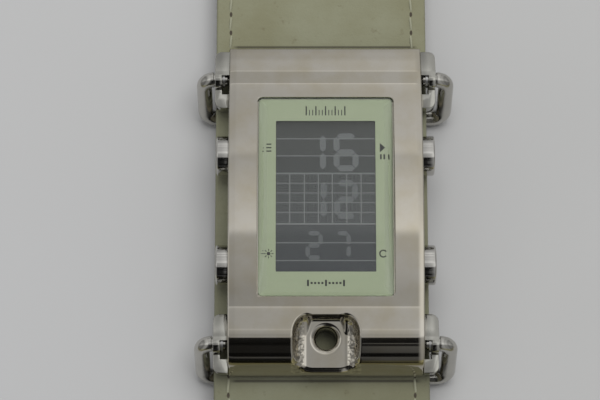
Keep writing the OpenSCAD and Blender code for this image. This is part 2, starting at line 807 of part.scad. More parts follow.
// Side outline of a lug about its pivot, with the sloping block on the +Y side
module lug_outline() {
  top_z = pivot_z + knuckle_r - hair;
  flat = 0.9;
  foot_slope = 0.5;
  polygon([
    [-lug_foot_l, lug_z], [lug_block_l, lug_z], [lug_block_l, top_z - lug_block_drop],
    [flat, top_z], [0, top_z], [0, top_z - lug_foot_drop], [-lug_foot_l, top_z - lug_foot_drop - foot_slope]
  ]);
  translate([0, pivot_z]) circle(r = knuckle_r);
}

// A lug in the right-hand place at 12 o'clock: a knuckle between a block and a foot, with a notch
// at the plate. The block is on the outer side, away from the watch's middle, or on the inner side.
module lug_shape(outer_block) {
  top_z = pivot_z + 2 * knuckle_r;
  notch_past = 0.3;
  translate([0, pivot_y, 0]) mirror([0, outer_block ? 0 : 1, 0]) difference() {
    intersection() {
      translate([lug_x + lug_w / 2, 0, 0]) across(lug_w) lug_outline();
      slab(2 * (lug_x + lug_w), lug_block_l + lug_foot_l, lug_corner_r,
        (lug_block_l - lug_foot_l) / 2, lug_z - over, top_z);
    }
    translate([lug_x - over, -notch_l, lug_z - over]) {
      cube([notch_w + over, notch_l + notch_past, top_z - lug_z + over]);
    }
    translate([0, 0, pivot_z]) {
      rod(lug_x - over, lug_x + notch_w, ring_clip_r + 2 * hair);
      rod(lug_x, lug_x + lug_w + over, pin_r + pin_fit);
    }
  }
}

module upper_left_lug() { color("lightgray") in_corner(false, true) lug_shape(true); }
module upper_right_lug() { color("lightgray") in_corner(true, true) lug_shape(true); }
module lower_left_lug() { color("lightgray") in_corner(false, false) lug_shape(false); }
module lower_right_lug() { color("lightgray") in_corner(true, false) lug_shape(false); }

// A quarter bend of round wire in the X-Z plane, from +X round to +Z
module wire_bend(bend_r, wire_r) {
  rotate([90, 0, 0]) rotate_extrude(angle = 90) translate([bend_r, 0]) circle(r = wire_r);
}

// A ring: a wire U whose turned-in ends are its pins. Its pivot is at the origin.
module ring_shape() {
  corner_x = ring_arm_x - ring_corner_r;
  mirror_x() {
    difference() {
      rod(pin_x, ring_bend_x, pin_r);
      difference() {
        rod(ring_clip_x - hair / 2, ring_clip_x + ring_clip_w + hair / 2, pin_r + over);
        rod(ring_clip_x - over, ring_clip_x + ring_clip_w + over, pin_r - groove_cut);
      }
    }
    translate([ring_bend_x, 0, -ring_bend_r]) wire_bend(ring_bend_r, ring_wire_r);
    translate([ring_arm_x, 0, ring_corner_r - ring_len]) {
      cylinder(r = ring_wire_r, h = ring_len - ring_bend_r - ring_corner_r);
    }
    translate([corner_x, 0, ring_corner_r - ring_len]) {
      mirror([0, 0, 1]) wire_bend(ring_corner_r, ring_wire_r);
    }
  }
  translate([0, 0, -ring_len]) rod(-corner_x, corner_x, ring_wire_r);
}

// The two clips on a ring's pins, in the lugs' notches
module ring_clips_shape() {
  mirror_x() translate([ring_clip_x, 0, 0]) {
    open_ring(pin_r - groove_cut + 0.02, ring_clip_r, ring_clip_w);
  }
}

// A ring's place at rest: its bar lies on the table, on the 6 o'clock side of its pivot
module ring_place(y) {
  translate([0, y, pivot_z]) rotate([-ring_lean, 0, 0]) children();
}

module upper_ring() { color("silver") ring_place(pivot_y) ring_shape(); }
module upper_ring_clips() { color("gray") ring_place(pivot_y) ring_clips_shape(); }
module lower_ring() { color("silver") ring_place(-pivot_y) ring_shape(); }
module lower_ring_clips() { color("gray") ring_place(-pivot_y) ring_clips_shape(); }

// Height of the strap's underside above the table at y: a smooth slope at each side of the case
function ease(t) = (1 - cos(180 * min(1, max(0, t)))) / 2;
function strap_z(y) = y < 0
  ? strap_low_z + (tail_z - strap_low_z) * ease((-y - level_low) / slope_run)
  : strap_low_z + (head_z - strap_low_z) * ease((y - level_top) / slope_run);

// Where the strap's side outline has its points, from the tip to y_end
function strap_stations(y_end) = concat(
  [-half_l],
  [for (i = [0:slope_steps]) -level_low - slope_run * (1 - i / slope_steps)],
  [for (i = [0:slope_steps]) level_top + slope_run * i / slope_steps],
  [y_end]
);

// A layer of the strap from height a to height b above its underside, seen from the side
module strap_layer(a, b, y_end) {
  ys = strap_stations(y_end);
  n = len(ys) - 1;
  polygon(concat(
    [for (i = [0:n]) [ys[i], strap_z(ys[i]) + a]],
    [for (i = [n:-1:0]) [ys[i], strap_z(ys[i]) + b]]
  ));
}

// The strap seen from above: wide at the case, narrower at both ends, with a round tip
module strap_plan() {
  w = strap_w / 2;
  e = strap_end_w / 2;
  tip = half_l - e;
  half = [
    [e, -tip], [e, -tail_taper_end], [w, -taper_y], [w, taper_y], [e, head_taper_end],
    [e, half_l]
  ];
  polygon(concat(half, [for (i = [len(half) - 1:-1:0]) [-half[i][0], half[i][1]]]));
  translate([0, -tip]) circle(r = e);
}

module punched_holes() {
  for (i = [0:hole_count - 1]) {
    translate([0, -half_l + hole_setback + i * hole_pitch, -over]) {
      cylinder(r = punch_r, h = strap_t + 2 * over);
    }
  }
}

// Top of the outer leather where it climbs over the buckle's bar
function climb_z(t) = head_z + strap_t + (2 * loop_r - strap_t) * ease(t);

// Side outline of the outer leather, up to the loop round the bar: along its underside, under
// the folded flap, and back along its top
module outer_outline() {
  ys = strap_stations(bar_y - flap_l);
  n = len(ys) - 1;
  join_y = bar_y - 0.6;
  polygon(concat(
    [for (i = [0:n]) [ys[i], strap_z(ys[i]) + lining_t]],
    [[bar_y - flap_l, head_z], [join_y, head_z], [bar_y, bar_z]],
    [for (i = [slope_steps:-1:0]) let (t = i / slope_steps)
      [join_y - loop_rise_run * (1 - t), climb_z(t)]],
    [for (i = [n - 1:-1:0]) [ys[i], strap_z(ys[i]) + strap_t]]
  ));
}

// The outer leather. At 12 o'clock it goes round the buckle's bar and folds back underneath.
module strap_outer() {
  color("darkkhaki") translate([strap_x, 0, 0]) difference() {
    intersection() {
      across(strap_w) difference() {
        union() {
          outer_outline();
          translate([bar_y, bar_z]) circle(r = loop_r);
        }
        translate([bar_y, bar_z]) circle(r = bar_r + bar_fit);
      }
      linear_extrude(top_z) strap_plan();
    }
    punched_holes();
    translate([-tongue_slot_w / 2, bar_y - loop_r - 2.5, 0]) {
      cube([tongue_slot_w, 2 * loop_r + 2.5 + over, bar_z + loop_r + over]);
    }
  }
}

module strap_lining() {
  color("tan") translate([strap_x, 0, 0]) difference() {
    intersection() {
      across(strap_w) strap_layer(0, lining_t, bar_y - flap_l - hair);
      linear_extrude(top_z) strap_plan();
    }
    punched_holes();
  }
}

// A leather loop round the strap, with its underside on the table and its floor at z0
module keeper_shape(y, z0) {
  room_w = strap_end_w + 2 * keeper_gap;
  room_h = head_z + strap_t + keeper_room - z0;
  translate([strap_x, y + keeper_w / 2, z0 + room_h / 2]) rotate([90, 0, 0]) linear_extrude(keeper_w) {
    difference() {
      translate([0, (keeper_t - z0) / 2]) {
        round_rect(room_w + 2 * keeper_t, room_h + z0 + keeper_t, keeper_gap + keeper_t);
      }
      round_rect(room_w, room_h, keeper_gap);
    }
  }
}

module fixed_keeper() { color("darkkhaki") keeper_shape(fixed_keeper_y, head_z); }
module free_keeper() { color("darkkhaki") keeper_shape(free_keeper_y, head_z - 2 * hair); }

// The buckle's place at rest: its bar in the leather loop, its front on the table
module buckle_place() {
  translate([strap_x, bar_y, bar_z]) rotate([-buckle_tilt, 0, 0]) children();
}

module buckle_frame() {
  corner_x = buckle_side_x - buckle_corner_r;
  color("silver") buckle_place() difference() {
    union() {
      mirror_x() {
        rod(buckle_side_x - buckle_eye_w / 2, buckle_side_x + buckle_eye_w / 2, buckle_eye_r);
        translate([buckle_side_x, 0, 0]) rotate([-90, 0, 0]) {
          cylinder(r = buckle_wire_r, h = buckle_len - buckle_corner_r);
        }
        translate([corner_x, buckle_len - buckle_corner_r, 0]) rotate([-90, 0, 0]) {
          wire_bend(buckle_corner_r, buckle_wire_r);
        }
      }
      translate([0, buckle_len, 0]) rod(-corner_x, corner_x, buckle_wire_r);
    }
    rod(-buckle_side_x - 2 * over, buckle_side_x + 2 * over, bar_r);
  }
}

module buckle_bar() {
  color("gray") buckle_place() {
    rod(-buckle_side_x - buckle_eye_w / 2, buckle_side_x + buckle_eye_w / 2, bar_r);
  }
}

// The tongue: a ring round the bar and a prong that rests on the buckle's front
module buckle_tongue() {
  rest_z = buckle_wire_r + tongue_r + 2 * hair;
  pitch = atan((rest_z - tongue_lift) / buckle_len);
  prong_l = (buckle_len + tongue_over) / cos(pitch);
  color("silver") buckle_place() difference() {
    union() {
      rod(-tongue_root_w / 2, tongue_root_w / 2, buckle_eye_r);
      translate([0, 0, tongue_lift]) rotate([pitch - 90, 0, 0]) {
        cylinder(r = tongue_r, h = prong_l - tongue_r);
        translate([0, 0, prong_l - tongue_r]) sphere(r = tongue_r);
      }
    }
    rod(-tongue_root_w, tongue_root_w, bar_r + hair);
  }
}

front_plate();
case_middle();
case_back();
back_gasket();
case_screws();
crystal();
crystal_gasket();
dial_mask();
lcd_panel();
zebra_strips();
backlight_panel();
module_frame();
circuit_board();
driver_chip();
quartz_can();
battery();
battery_clip();
buzzer_disc();
switch_leaves();
pusher_seals();
mode_pusher();
start_pusher();
light_pusher();
reset_pusher();
mode_clip();
start_clip();
light_clip();
reset_clip();
mode_spring();
start_spring();
light_spring();
reset_spring();
upper_left_lug();
upper_right_lug();
lower_left_lug();
lower_right_lug();
upper_ring();
upper_ring_clips();
lower_ring();
lower_ring_clips();
strap_outer();
strap_lining();
fixed_keeper();
free_keeper();
buckle_frame();
buckle_bar();
buckle_tongue();
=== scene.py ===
"""The wristwatch's looks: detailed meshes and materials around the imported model, with camera and light.
Shapes are in millimetres, and become metres when a mesh is made. Lamp and camera are in metres."""

import math

import bpy
import numpy as np
from mathutils import Matrix, Vector
from mathutils.geometry import delaunay_2d_cdt


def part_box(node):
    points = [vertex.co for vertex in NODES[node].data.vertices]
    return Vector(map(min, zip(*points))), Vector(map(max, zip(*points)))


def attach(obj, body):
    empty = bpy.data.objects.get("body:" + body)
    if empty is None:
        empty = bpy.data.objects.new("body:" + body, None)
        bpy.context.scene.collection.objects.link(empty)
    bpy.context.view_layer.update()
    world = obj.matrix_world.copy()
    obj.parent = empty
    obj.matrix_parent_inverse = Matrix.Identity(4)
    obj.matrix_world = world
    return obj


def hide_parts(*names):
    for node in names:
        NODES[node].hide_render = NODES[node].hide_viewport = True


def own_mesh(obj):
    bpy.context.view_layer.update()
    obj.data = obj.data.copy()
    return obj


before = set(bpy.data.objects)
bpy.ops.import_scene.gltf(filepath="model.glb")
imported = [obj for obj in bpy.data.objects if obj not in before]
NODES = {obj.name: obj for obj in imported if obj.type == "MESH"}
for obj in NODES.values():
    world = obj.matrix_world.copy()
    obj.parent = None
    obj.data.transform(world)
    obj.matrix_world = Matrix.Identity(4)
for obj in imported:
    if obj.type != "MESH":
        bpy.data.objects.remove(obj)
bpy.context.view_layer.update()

MM = 0.001
QUARTER = math.pi / 2
rng = np.random.default_rng(7)

# Sizes that repeat part.scad's, in millimetres

HALF_CASE = 15.0
FACE_R, TOP_Z, PLATE_LOW = 75.0, 15.0, 6.2
ROLL_Y, ROLL_TOP = -19.4, 13.158
SHELF_Y, SHELF_Z = -15.62, 13.355
FACET_Y = 19.2
HOLE_Y, HOLE_R, SOCKET_Z, SOCKET_SLOPE = -20.3, 1.6, 10.628, 11.0
CRYSTAL_Y, DISPLAY_Y = 1.5, 1.6
MASK_LOW, MASK_TOP, DISPLAY_TOP = 11.9, 12.1, 11.5
PUSHER_Y, PUSHER_Z, PUSHER_R = 8.65, 9.2, 3.1
PIVOT_Y, PIVOT_Z = 20.9, 9.5
WIRE_R, PIN_R = 1.2, 1.0
STRAP_X, LINING_TOP, STRAP_TOP = -0.6, 1.2, 2.6
STRAP_HALF, TIP_Y, TIP_R = 16.75, -108.0, 14.0
BAR_Y, BAR_Z = 110.198, 3.35
# Each button's side and y
BUTTONS = {
    "mode": (-1, PUSHER_Y),
    "start": (1, PUSHER_Y),
    "light": (-1, -PUSHER_Y),
    "reset": (1, -PUSHER_Y),
}


def face_z(y):
    """Height of the curved front at y."""
    return TOP_Z - FACE_R + np.sqrt(FACE_R**2 - np.square(y))


def ease(t):
    """A smooth step from 0 to 1."""
    return (1 - np.cos(np.pi * np.clip(t, 0, 1))) / 2


def strap_z(y):
    """Height of the strap's underside at y: raised under the case, on the floor towards the tip, and
    on the keepers towards the buckle."""
    rise, keeper_floor, run = 2.8, 1.2, 20
    if y < 0:
        return rise * (1 - ease((-y - 38) / run))
    return rise - (rise - keeper_floor) * ease((y - 34) / run)


# Outlines and paths


def arc(cx, cy, r, start, end, steps):
    """Points along a circle, from one angle to another in degrees."""
    turns = [math.radians(start + (end - start) * k / steps) for k in range(steps + 1)]
    return [(cx + r * math.cos(t), cy + r * math.sin(t)) for t in turns]


def rect(cx, cy, w, h):
    x, y = w / 2, h / 2
    return [(cx - x, cy - y), (cx + x, cy - y), (cx + x, cy + y), (cx - x, cy + y)]


def round_rect(w, l, r, steps=8, cx=0.0, cy=0.0):
    """Points round a rectangle with round corners, counterclockwise."""
    out = []
    for sx, sy, start in ((1, 1, 0), (-1, 1, 90), (-1, -1, 180), (1, -1, 270)):
        out += arc(cx + sx * (w / 2 - r), cy + sy * (l / 2 - r), r, start, start + 90, steps)
    return out


def fillet(points, radii, step):
    """An open polyline with its corners rounded. A radius of 0 keeps the corner."""
    out = []
    for i, (corner, r) in enumerate(zip(points, radii)):
        if r == 0:
            out.append(corner)
            continue
        p = np.array(corner)
        a, b = np.array(points[i - 1]) - p, np.array(points[i + 1]) - p
        a, b = a / np.linalg.norm(a), b / np.linalg.norm(b)
        turn = math.pi - math.acos(np.clip(a @ b, -1, 1))
        back = r * math.tan(turn / 2)
        mid = p + (a + b) / np.linalg.norm(a + b) * r / math.cos(turn / 2)
        first, last = p + a * back - mid, p + b * back - mid
        for t in np.linspace(0, 1, max(3, int(r * turn / step) + 2)):
            arm = (first * math.sin((1 - t) * turn) + last * math.sin(t * turn)) / math.sin(turn)
            out.append(tuple(mid + arm))
    return out


def subdivide(points, step):
    """A polyline with points added on its longer stretches, at least a step apart."""
    out = []
    for a, b in zip(points, points[1:]):
        count = max(1, int(math.dist(a, b) / step))
        out += [(a[0] + (b[0] - a[0]) * k / count, a[1] + (b[1] - a[1]) * k / count) for k in range(count)]
    return out + [points[-1]]


def inside(x, y, outline):
    hit = False
    for (xi, yi), (xj, yj) in zip(outline, outline[-1:] + outline[:-1]):
        if (yi > y) != (yj > y) and x < (xj - xi) * (y - yi) / (yj - yi) + xi:
            hit = not hit
    return hit


# Forms, each a pair of points and faces


def ring_faces(rows, n, closed=False):
    """Quads between rows of n points each. Each row is a closed ring of points."""
    out = []
    for i in range(rows if closed else rows - 1):
        a, b = i * n, (i + 1) % rows * n
        for j in range(n):
            k = (j + 1) % n
            out.append((a + j, a + k, b + k, b + j))
    return out


def loft(rows, caps=True):
    """A tube through rows, each a closed ring of points."""
    n = len(rows[0])
    faces = ring_faces(len(rows), n)
    if caps:
        faces.append(tuple(range(n))[::-1])
        faces.append(tuple(range((len(rows) - 1) * n, len(rows) * n)))
    return [p for row in rows for p in row], faces


def prism(outline, lo, hi, axis="Z"):
    """A straight prism. The outline's two numbers are (x, y), or (y, z) along X."""
    if axis == "Z":
        return loft([[(a, b, h) for a, b in outline] for h in (lo, hi)])
    return loft([[(h, a, b) for a, b in outline] for h in (lo, hi)])


def block(x0, x1, y0, y1, z0, z1):
    return prism([(x0, y0), (x1, y0), (x1, y1), (x0, y1)], z0, z1)


def tube(path, radius, sides, shares=None):
    """A round wire along an open path. shares gives each point's part of the radius."""
    path = np.array(path, float)
    turns = [2 * math.pi * k / sides for k in range(sides)]
    rows = []
    normal = None
    for i, p in enumerate(path):
        along = path[min(i + 1, len(path) - 1)] - path[max(i - 1, 0)]
        along /= np.linalg.norm(along)
        if normal is None:
            normal = np.array((0.0, 0.0, 1.0) if abs(along[2]) < 0.9 else (0.0, 1.0, 0.0))
        normal = normal - along * (normal @ along)
        normal /= np.linalg.norm(normal)
        side = np.cross(along, normal)
        r = radius * (shares[i] if shares else 1)
        rows.append([p + r * (math.cos(t) * normal + math.sin(t) * side) for t in turns])
    return loft(rows)


def lathe(profile, centre, sides, axis="X", sign=1):
    """A turned piece. The profile is (distance along the axis, radius), from one end to the other. A
    sign of -1 turns it to face the other way along X."""
    least = 1e-4
    rows = []
    for a, r in profile:
        row = []
        for k in range(sides):
            t = 2 * math.pi * k / sides
            u, v = max(r, least) * math.cos(t), max(r, least) * math.sin(t) * sign
            p = (a * sign, u, v) if axis == "X" else (u, v, a)
            row.append((p[0] + centre[0], p[1] + centre[1], p[2] + centre[2]))
        rows.append(row)
    return loft(rows)


def join(*forms):
    """Several forms as one."""
    verts, faces = [], []
    for v, f in forms:
        n = len(verts)
        verts += list(v)
        faces += [tuple(i + n for i in face) for face in f]
    return verts, faces


def fill(outlines, grid, height):
    """A triangulated sheet over flat outlines, the first outside and the rest holes, with inner grid
    points. height gives each point's z. Returns points, faces and each outline's point numbers."""
    merge = 1e-5
    points, edges, loops = [], [], []
    for outline in outlines:
        n, count = len(points), len(outline)
        points += [Vector(p) for p in outline]
        edges += [(n + i, n + (i + 1) % count) for i in range(count)]
        loops.append(range(n, n + count))
    points += [Vector(p) for p in grid]
    co, _, tris, origin, _, _ = delaunay_2d_cdt(points, edges, [], 1, merge)
    number = {old: new for new, olds in enumerate(origin) for old in olds}
    faces = []
    for t in tris:
        cx = sum(co[i].x for i in t) / 3
        cy = sum(co[i].y for i in t) / 3
        if inside(cx, cy, outlines[0]) and not any(inside(cx, cy, hole) for hole in outlines[1:]):
            faces.append(tuple(t))
    verts = [(c.x, c.y, height(c.x, c.y)) for c in co]
    return verts, faces, [[number[i] for i in loop] for loop in loops]


# Objects


def plain(name, form):
    """A mesh object that isn't dressed, such as a cutter."""
    verts, faces = form
    mesh = bpy.data.meshes.new(name)
    mesh.from_pydata([tuple(float(c) * MM for c in v) for v in verts], [], faces)
    ob = bpy.data.objects.new(name, mesh)
    bpy.context.scene.collection.objects.link(ob)
    return ob


def paint(ob, *materials):
    ob.data.materials.clear()
    for material in materials:
        ob.data.materials.append(material)


def dress(ob, material, body, smooth_angle, stands_for=()):
    """Puts an object on its body, with its material and its shading."""
    paint(ob, material)
    for p in ob.data.polygons:
        p.use_smooth = True
    ob.data.set_sharp_from_angle(angle=math.radians(smooth_angle))
    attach(ob, body)
    if stands_for:
        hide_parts(*stands_for)
    return ob


def make(name, form, material, body, smooth_angle, stands_for=()):
    ob = plain(name, form)
    ob.data.validate()
    return dress(ob, material, body, smooth_angle, stands_for)


def bake(ob):
    """Applies an object's modifiers."""
    dg = bpy.context.evaluated_depsgraph_get()
    dg.update()
    mesh = bpy.data.meshes.new_from_object(ob.evaluated_get(dg))
    ob.modifiers.clear()
    ob.data = mesh


def cut(ob, *forms, how="DIFFERENCE"):
    """Takes each form away from an object, or keeps only what is inside it. A form may be an object."""
    for form in forms:
        cutter = form if isinstance(form, bpy.types.Object) else plain("cutter", form)
        m = ob.modifiers.new("cut", "BOOLEAN")
        m.operation = how
        m.solver = "MANIFOLD"
        m.object = cutter
        bake(ob)
        bpy.data.objects.remove(cutter)


def bevel(ob, width, angle):
    """Rounds the edges that are sharper than an angle in degrees."""
    m = ob.modifiers.new("edges", "BEVEL")
    m.width = width * MM
    m.segments = 3
    m.limit_method = "ANGLE"
    m.angle_limit = math.radians(angle)
    bake(ob)


# Materials


class Nodes:
    """A node tree under construction."""

    def __init__(self, tree):
        self.tree = tree

    def node(self, kind, **values):
        """A new node. A value is for the input of that name, or else for the node itself."""
        n = self.tree.nodes.new(kind)
        for key, value in values.items():
            if key in n.inputs:
                n.inputs[key].default_value = value
            else:
                setattr(n, key, value)
        return n

    def feed(self, socket, value):
        """Links an input to another node's output, or gives it a number or a colour."""
        if isinstance(value, bpy.types.NodeSocket):
            self.tree.links.new(value, socket)
        else:
            socket.default_value = (*value, 1) if socket.type == "RGBA" else value

    def math(self, operation, *values, clamp=False):
        n = self.node("ShaderNodeMath", operation=operation, use_clamp=clamp)
        for socket, value in zip(n.inputs, values):
            self.feed(socket, value)
        return n.outputs[0]

    def mix(self, factor, a, b, blend="MIX"):
        n = self.node("ShaderNodeMix", data_type="RGBA", blend_type=blend)
        for i, value in ((0, factor), (6, a), (7, b)):
            self.feed(n.inputs[i], value)
        return n.outputs[2]

    def split(self, vector):
        n = self.node("ShaderNodeSeparateXYZ")
        self.feed(n.inputs[0], vector)
        return n.outputs

    def ramp(self, value, stops, low=0.0, high=1.0):
        """Levels or colours along a value between low and high."""
        n = self.node("ShaderNodeValToRGB")
        elements = n.color_ramp.elements
        while len(elements) < len(stops):
            elements.new(0.5)
        for element, (at, color) in zip(elements, stops):
            element.position = (at - low) / (high - low)
            element.color = (*color, 1) if hasattr(color, "__len__") else (color, color, color, 1)
        if (low, high) != (0.0, 1.0):
            value = self.math("MULTIPLY_ADD", value, 1 / (high - low), -low / (high - low))
        self.feed(n.inputs["Fac"], value)
        return n.outputs["Color"]


class Shader(Nodes):
    """A material under construction."""

    def __init__(self, name, color, metallic, roughness, **values):
        self.mat = bpy.data.materials.new(name)
        self.mat.use_nodes = True
        super().__init__(self.mat.node_tree)
        self.bsdf = self.tree.nodes["Principled BSDF"]
        values.update(base_color=color, metallic=metallic, roughness=roughness)
        for key, value in values.items():
            self.to(key.replace("_", " ").title().replace("Ior", "IOR"), value)

    def to(self, socket, value):
        self.feed(self.bsdf.inputs[socket], value)

    def place(self, stretch=(1, 1, 1)):
        """Object coordinates in millimetres, times stretch."""
        co = self.node("ShaderNodeTexCoord")
        mapping = self.node("ShaderNodeMapping", Scale=[s / MM for s in stretch])
        self.feed(mapping.inputs["Vector"], co.outputs["Object"])
        return mapping.outputs["Vector"]

    def noise(self, scale, where=None, detail=3.0, rough=0.5):
        n = self.node("ShaderNodeTexNoise", Scale=scale, Detail=detail, Roughness=rough)
        self.feed(n.inputs["Vector"], where or self.place())
        return n.outputs["Fac"]

    def cells(self, scale, randomness):
        n = self.node("ShaderNodeTexVoronoi", Scale=scale, Randomness=randomness)
        self.feed(n.inputs["Vector"], self.place())
        return n.outputs["Distance"]

    def bump(self, height, distance, strength, under=None):
        """Relief with a depth in millimetres, over another relief if there is one."""
        n = self.node("ShaderNodeBump", Strength=strength, Distance=distance * MM)
        self.feed(n.inputs["Height"], height)
        if under is not None:
            self.feed(n.inputs["Normal"], under)
        return n.outputs["Normal"]


def metal(name, color, roughness, stain=0.12, scratch=0.0, stain_scale=0.25, warm=None, pebble=0.0):
    """Steel or brass with faint stains and a roughness that varies. With scratch it has fine scratches,
    and with pebble also shallow dents, both given by their depth."""
    s = Shader(name, color, 1.0, roughness)
    stains = s.ramp(s.noise(stain_scale, detail=5.0), [(0.38, 0.0), (0.72, 1.0)])
    s.to("Base Color", s.mix(stains, color, tuple(c * (1 - stain) for c in (warm or color))))
    smear = s.noise(0.9, detail=4.0)
    s.to("Roughness", s.math("MULTIPLY_ADD", smear, roughness * 0.7, roughness * 0.65))
    if scratch:
        lines = s.noise(6.0, s.place((1, 0.04, 1)), detail=2.0)
        normal = s.bump(lines, scratch, 0.25)
        if pebble:
            normal = s.bump(s.noise(1.3, detail=1.0), pebble, 0.6, under=normal)
        s.to("Normal", normal)
    return s.mat


PLATE = metal("plate_steel_finish", (0.50, 0.475, 0.42), 0.06, stain=0.08, warm=(0.50, 0.46, 0.37))
POLISHED = metal("polished_steel_finish", (0.66, 0.645, 0.61), 0.05, stain=0.08)
PUSHER = metal("pusher_steel_finish", (0.54, 0.53, 0.50), 0.10)
SOCKET = metal("socket_steel_finish", (0.70, 0.66, 0.57), 0.04, stain=0.6, stain_scale=1.4, scratch=0.06,
               pebble=0.25)
# Painted shade: very dark steel on the lanyard hole's walls, so the hole looks shaded inside.
HOLE_SHADE_STEEL = metal("hole_steel_painted_shade", (0.16, 0.155, 0.14), 0.28, stain=0.15)
LUG = metal("lug_steel_finish", (0.41, 0.405, 0.37), 0.09, scratch=0.01)
RING = metal("ring_steel_finish", (0.50, 0.49, 0.455), 0.16)
BRUSHED = metal("brushed_steel_finish", (0.52, 0.52, 0.51), 0.3, stain=0.15, scratch=0.02)
BRASS = metal("brass_finish", (0.80, 0.62, 0.30), 0.25, stain=0.2)


def leather(name, base, stain, edge, pores, lines=()):
    """Leather with a fine pebbled grain, soft creases, clouds of colour and small stains, and painted shade
    that makes it a little darker towards the tip. Each line is a painted shadow across it, where an end of
    the case shades the strap, given by (y, half its width)."""
    # Colour of the painted shadow lines, and half their length across the strap.
    painted_shadow_color, shadow_half_length = (0.03, 0.027, 0.018), 14.9
    s = Shader(name, base, 0.0, 0.6, specular_ior_level=0.4)
    clouds = s.noise(0.09, detail=6.0, rough=0.6)
    spots = s.noise(0.55, rough=0.7)
    grain = s.cells(pores, 0.9)
    toned = s.mix(s.ramp(clouds, [(0.35, 0.0), (0.68, 1.0)]), base, stain)
    spotted = s.mix(s.ramp(spots, [(0.62, 0.0), (0.76, 0.55)]), toned, edge)
    pored = s.mix(s.ramp(grain, [(0.0, 0.30), (0.22, 0.0)]), spotted, edge)
    x, y, _ = s.split(s.place())
    # Painted shade: the leather a little darker towards 6 o'clock and the tip.
    color = s.mix(1.0, pored, s.ramp(y, [(-35, 0.76), (25, 1.0)], -60, 40), "MULTIPLY")
    # Painted shadows: a dark line across the strap at each end of the case.
    for at, half in lines:
        off = s.math("DIVIDE", s.math("ABSOLUTE", s.math("SUBTRACT", y, at)), half)
        near = s.math("MULTIPLY", s.math("SUBTRACT", 1.3, off, clamp=True), 0.85)
        within = s.math("SUBTRACT", shadow_half_length, s.math("ABSOLUTE", x), clamp=True)
        color = s.mix(s.math("MULTIPLY", near, within), color, painted_shadow_color)
    s.to("Base Color", color)
    s.to("Roughness", s.ramp(clouds, [(0.3, 0.52), (0.7, 0.68)]))
    creases = s.bump(s.noise(0.9, s.place((0.2, 1, 1))), 0.10, 0.6)
    coarse = s.bump(s.noise(0.35, detail=4.0), 0.12, 0.5, under=creases)
    s.to("Normal", s.bump(grain, 0.035, 0.6, under=coarse))
    return s.mat


# The two lines are painted shadows on the strap beside the case's two ends.
SAGE = leather("sage_leather_finish", (0.168, 0.170, 0.114), (0.148, 0.145, 0.090), (0.085, 0.068, 0.036),
               2.4, lines=((27.4, 0.2), (-26.2, 0.25)))
LINING = leather("lining_leather_finish", (0.27, 0.245, 0.17), (0.24, 0.215, 0.145), (0.16, 0.13, 0.08), 3.0)


def speckled(name, color, other, roughness, scale=1.2, relief=0.0):
    """A moulded or printed surface: slight clouds of colour and, if asked for, a fine texture."""
    s = Shader(name, color, 0.0, roughness)
    s.to("Base Color", s.mix(s.noise(scale, detail=4.0), color, other))
    if relief:
        s.to("Normal", s.bump(s.noise(scale * 8, detail=2.0), relief, 0.4))
    return s.mat


MINT = speckled("mint_print_finish", (0.385, 0.420, 0.305), (0.365, 0.400, 0.290), 0.45)
# Darker copies of the mint print: painted shade under the crystal's falling long sides.
MINT_EDGE_SHADE = speckled("mint_edge_painted_shade", (0.272, 0.302, 0.214), (0.262, 0.292, 0.208), 0.45)
MINT_SHADE = speckled("mint_bevel_painted_shade", (0.282, 0.313, 0.222), (0.272, 0.303, 0.215), 0.45)
THREAD = speckled("thread_finish", (0.235, 0.235, 0.170), (0.19, 0.19, 0.135), 0.7, 6.0, 0.03)
# Painted shade: the dark inside of a stitch hole.
STITCH_HOLE_SHADE = speckled("stitch_hole_painted_shade", (0.035, 0.03, 0.02), (0.05, 0.04, 0.03), 0.8)
INK = speckled("ink_finish", (0.012, 0.012, 0.012), (0.02, 0.02, 0.018), 0.4)
RUBBER = speckled("black_rubber_finish", (0.02, 0.02, 0.02), (0.03, 0.03, 0.03), 0.7, 2.0, 0.02)
WHITE = speckled("white_plastic_finish", (0.75, 0.75, 0.72), (0.70, 0.70, 0.67), 0.5, 1.0, 0.01)
GREEN = speckled("green_board_finish", (0.03, 0.16, 0.07), (0.02, 0.12, 0.05), 0.35, 0.8)
BLACK = speckled("black_plastic_finish", (0.02, 0.02, 0.022), (0.03, 0.03, 0.03), 0.45, 3.0, 0.02)
SEGMENT = speckled("segment_finish", (0.080, 0.082, 0.088), (0.070, 0.073, 0.080), 0.4)
DIM_SEGMENT = speckled("dim_segment_finish", (0.058, 0.061, 0.068), (0.050, 0.053, 0.060), 0.4)
FAINT = speckled("faint_segment_finish", (0.032, 0.033, 0.037), (0.028, 0.029, 0.033), 0.4)
LINE = speckled("display_line_finish", (0.115, 0.118, 0.122), (0.10, 0.103, 0.108), 0.4)


def display_glass():
    """Dark display glass, bluish towards 6 o'clock and darkest at the upper edge, where painted shadow
    stands for the raised mask's shadow, with a faint grain.
    """
    s = Shader("display_glass_finish", (0.02, 0.02, 0.022), 0.0, 0.25, specular_ior_level=0.25)
    _, y, _ = s.split(s.place())
    # The last stop is painted shadow of the raised mask along the display's upper edge.
    tone_and_mask_shadow = s.ramp(y, [
        (-11.25, (0.0145, 0.0165, 0.0235)),
        (1.25, (0.018, 0.0195, 0.0225)),
        (12.25, (0.017, 0.0175, 0.018)),
        (13.125, (0.009, 0.0095, 0.008)),
    ], -11.25, 13.75)
    s.to("Base Color", s.mix(s.math("MULTIPLY", s.noise(0.4), 0.06), tone_and_mask_shadow, (0.03, 0.03, 0.034)))
    return s.mat


def clear_glass():
    s = Shader("crystal_glass_finish", (0.93, 0.97, 0.93), 0.0, 0.01, ior=1.5, transmission_weight=1.0)
    s.to("Roughness", s.ramp(s.noise(0.3), [(0.55, 0.0), (0.8, 0.03)]))
    return s.mat


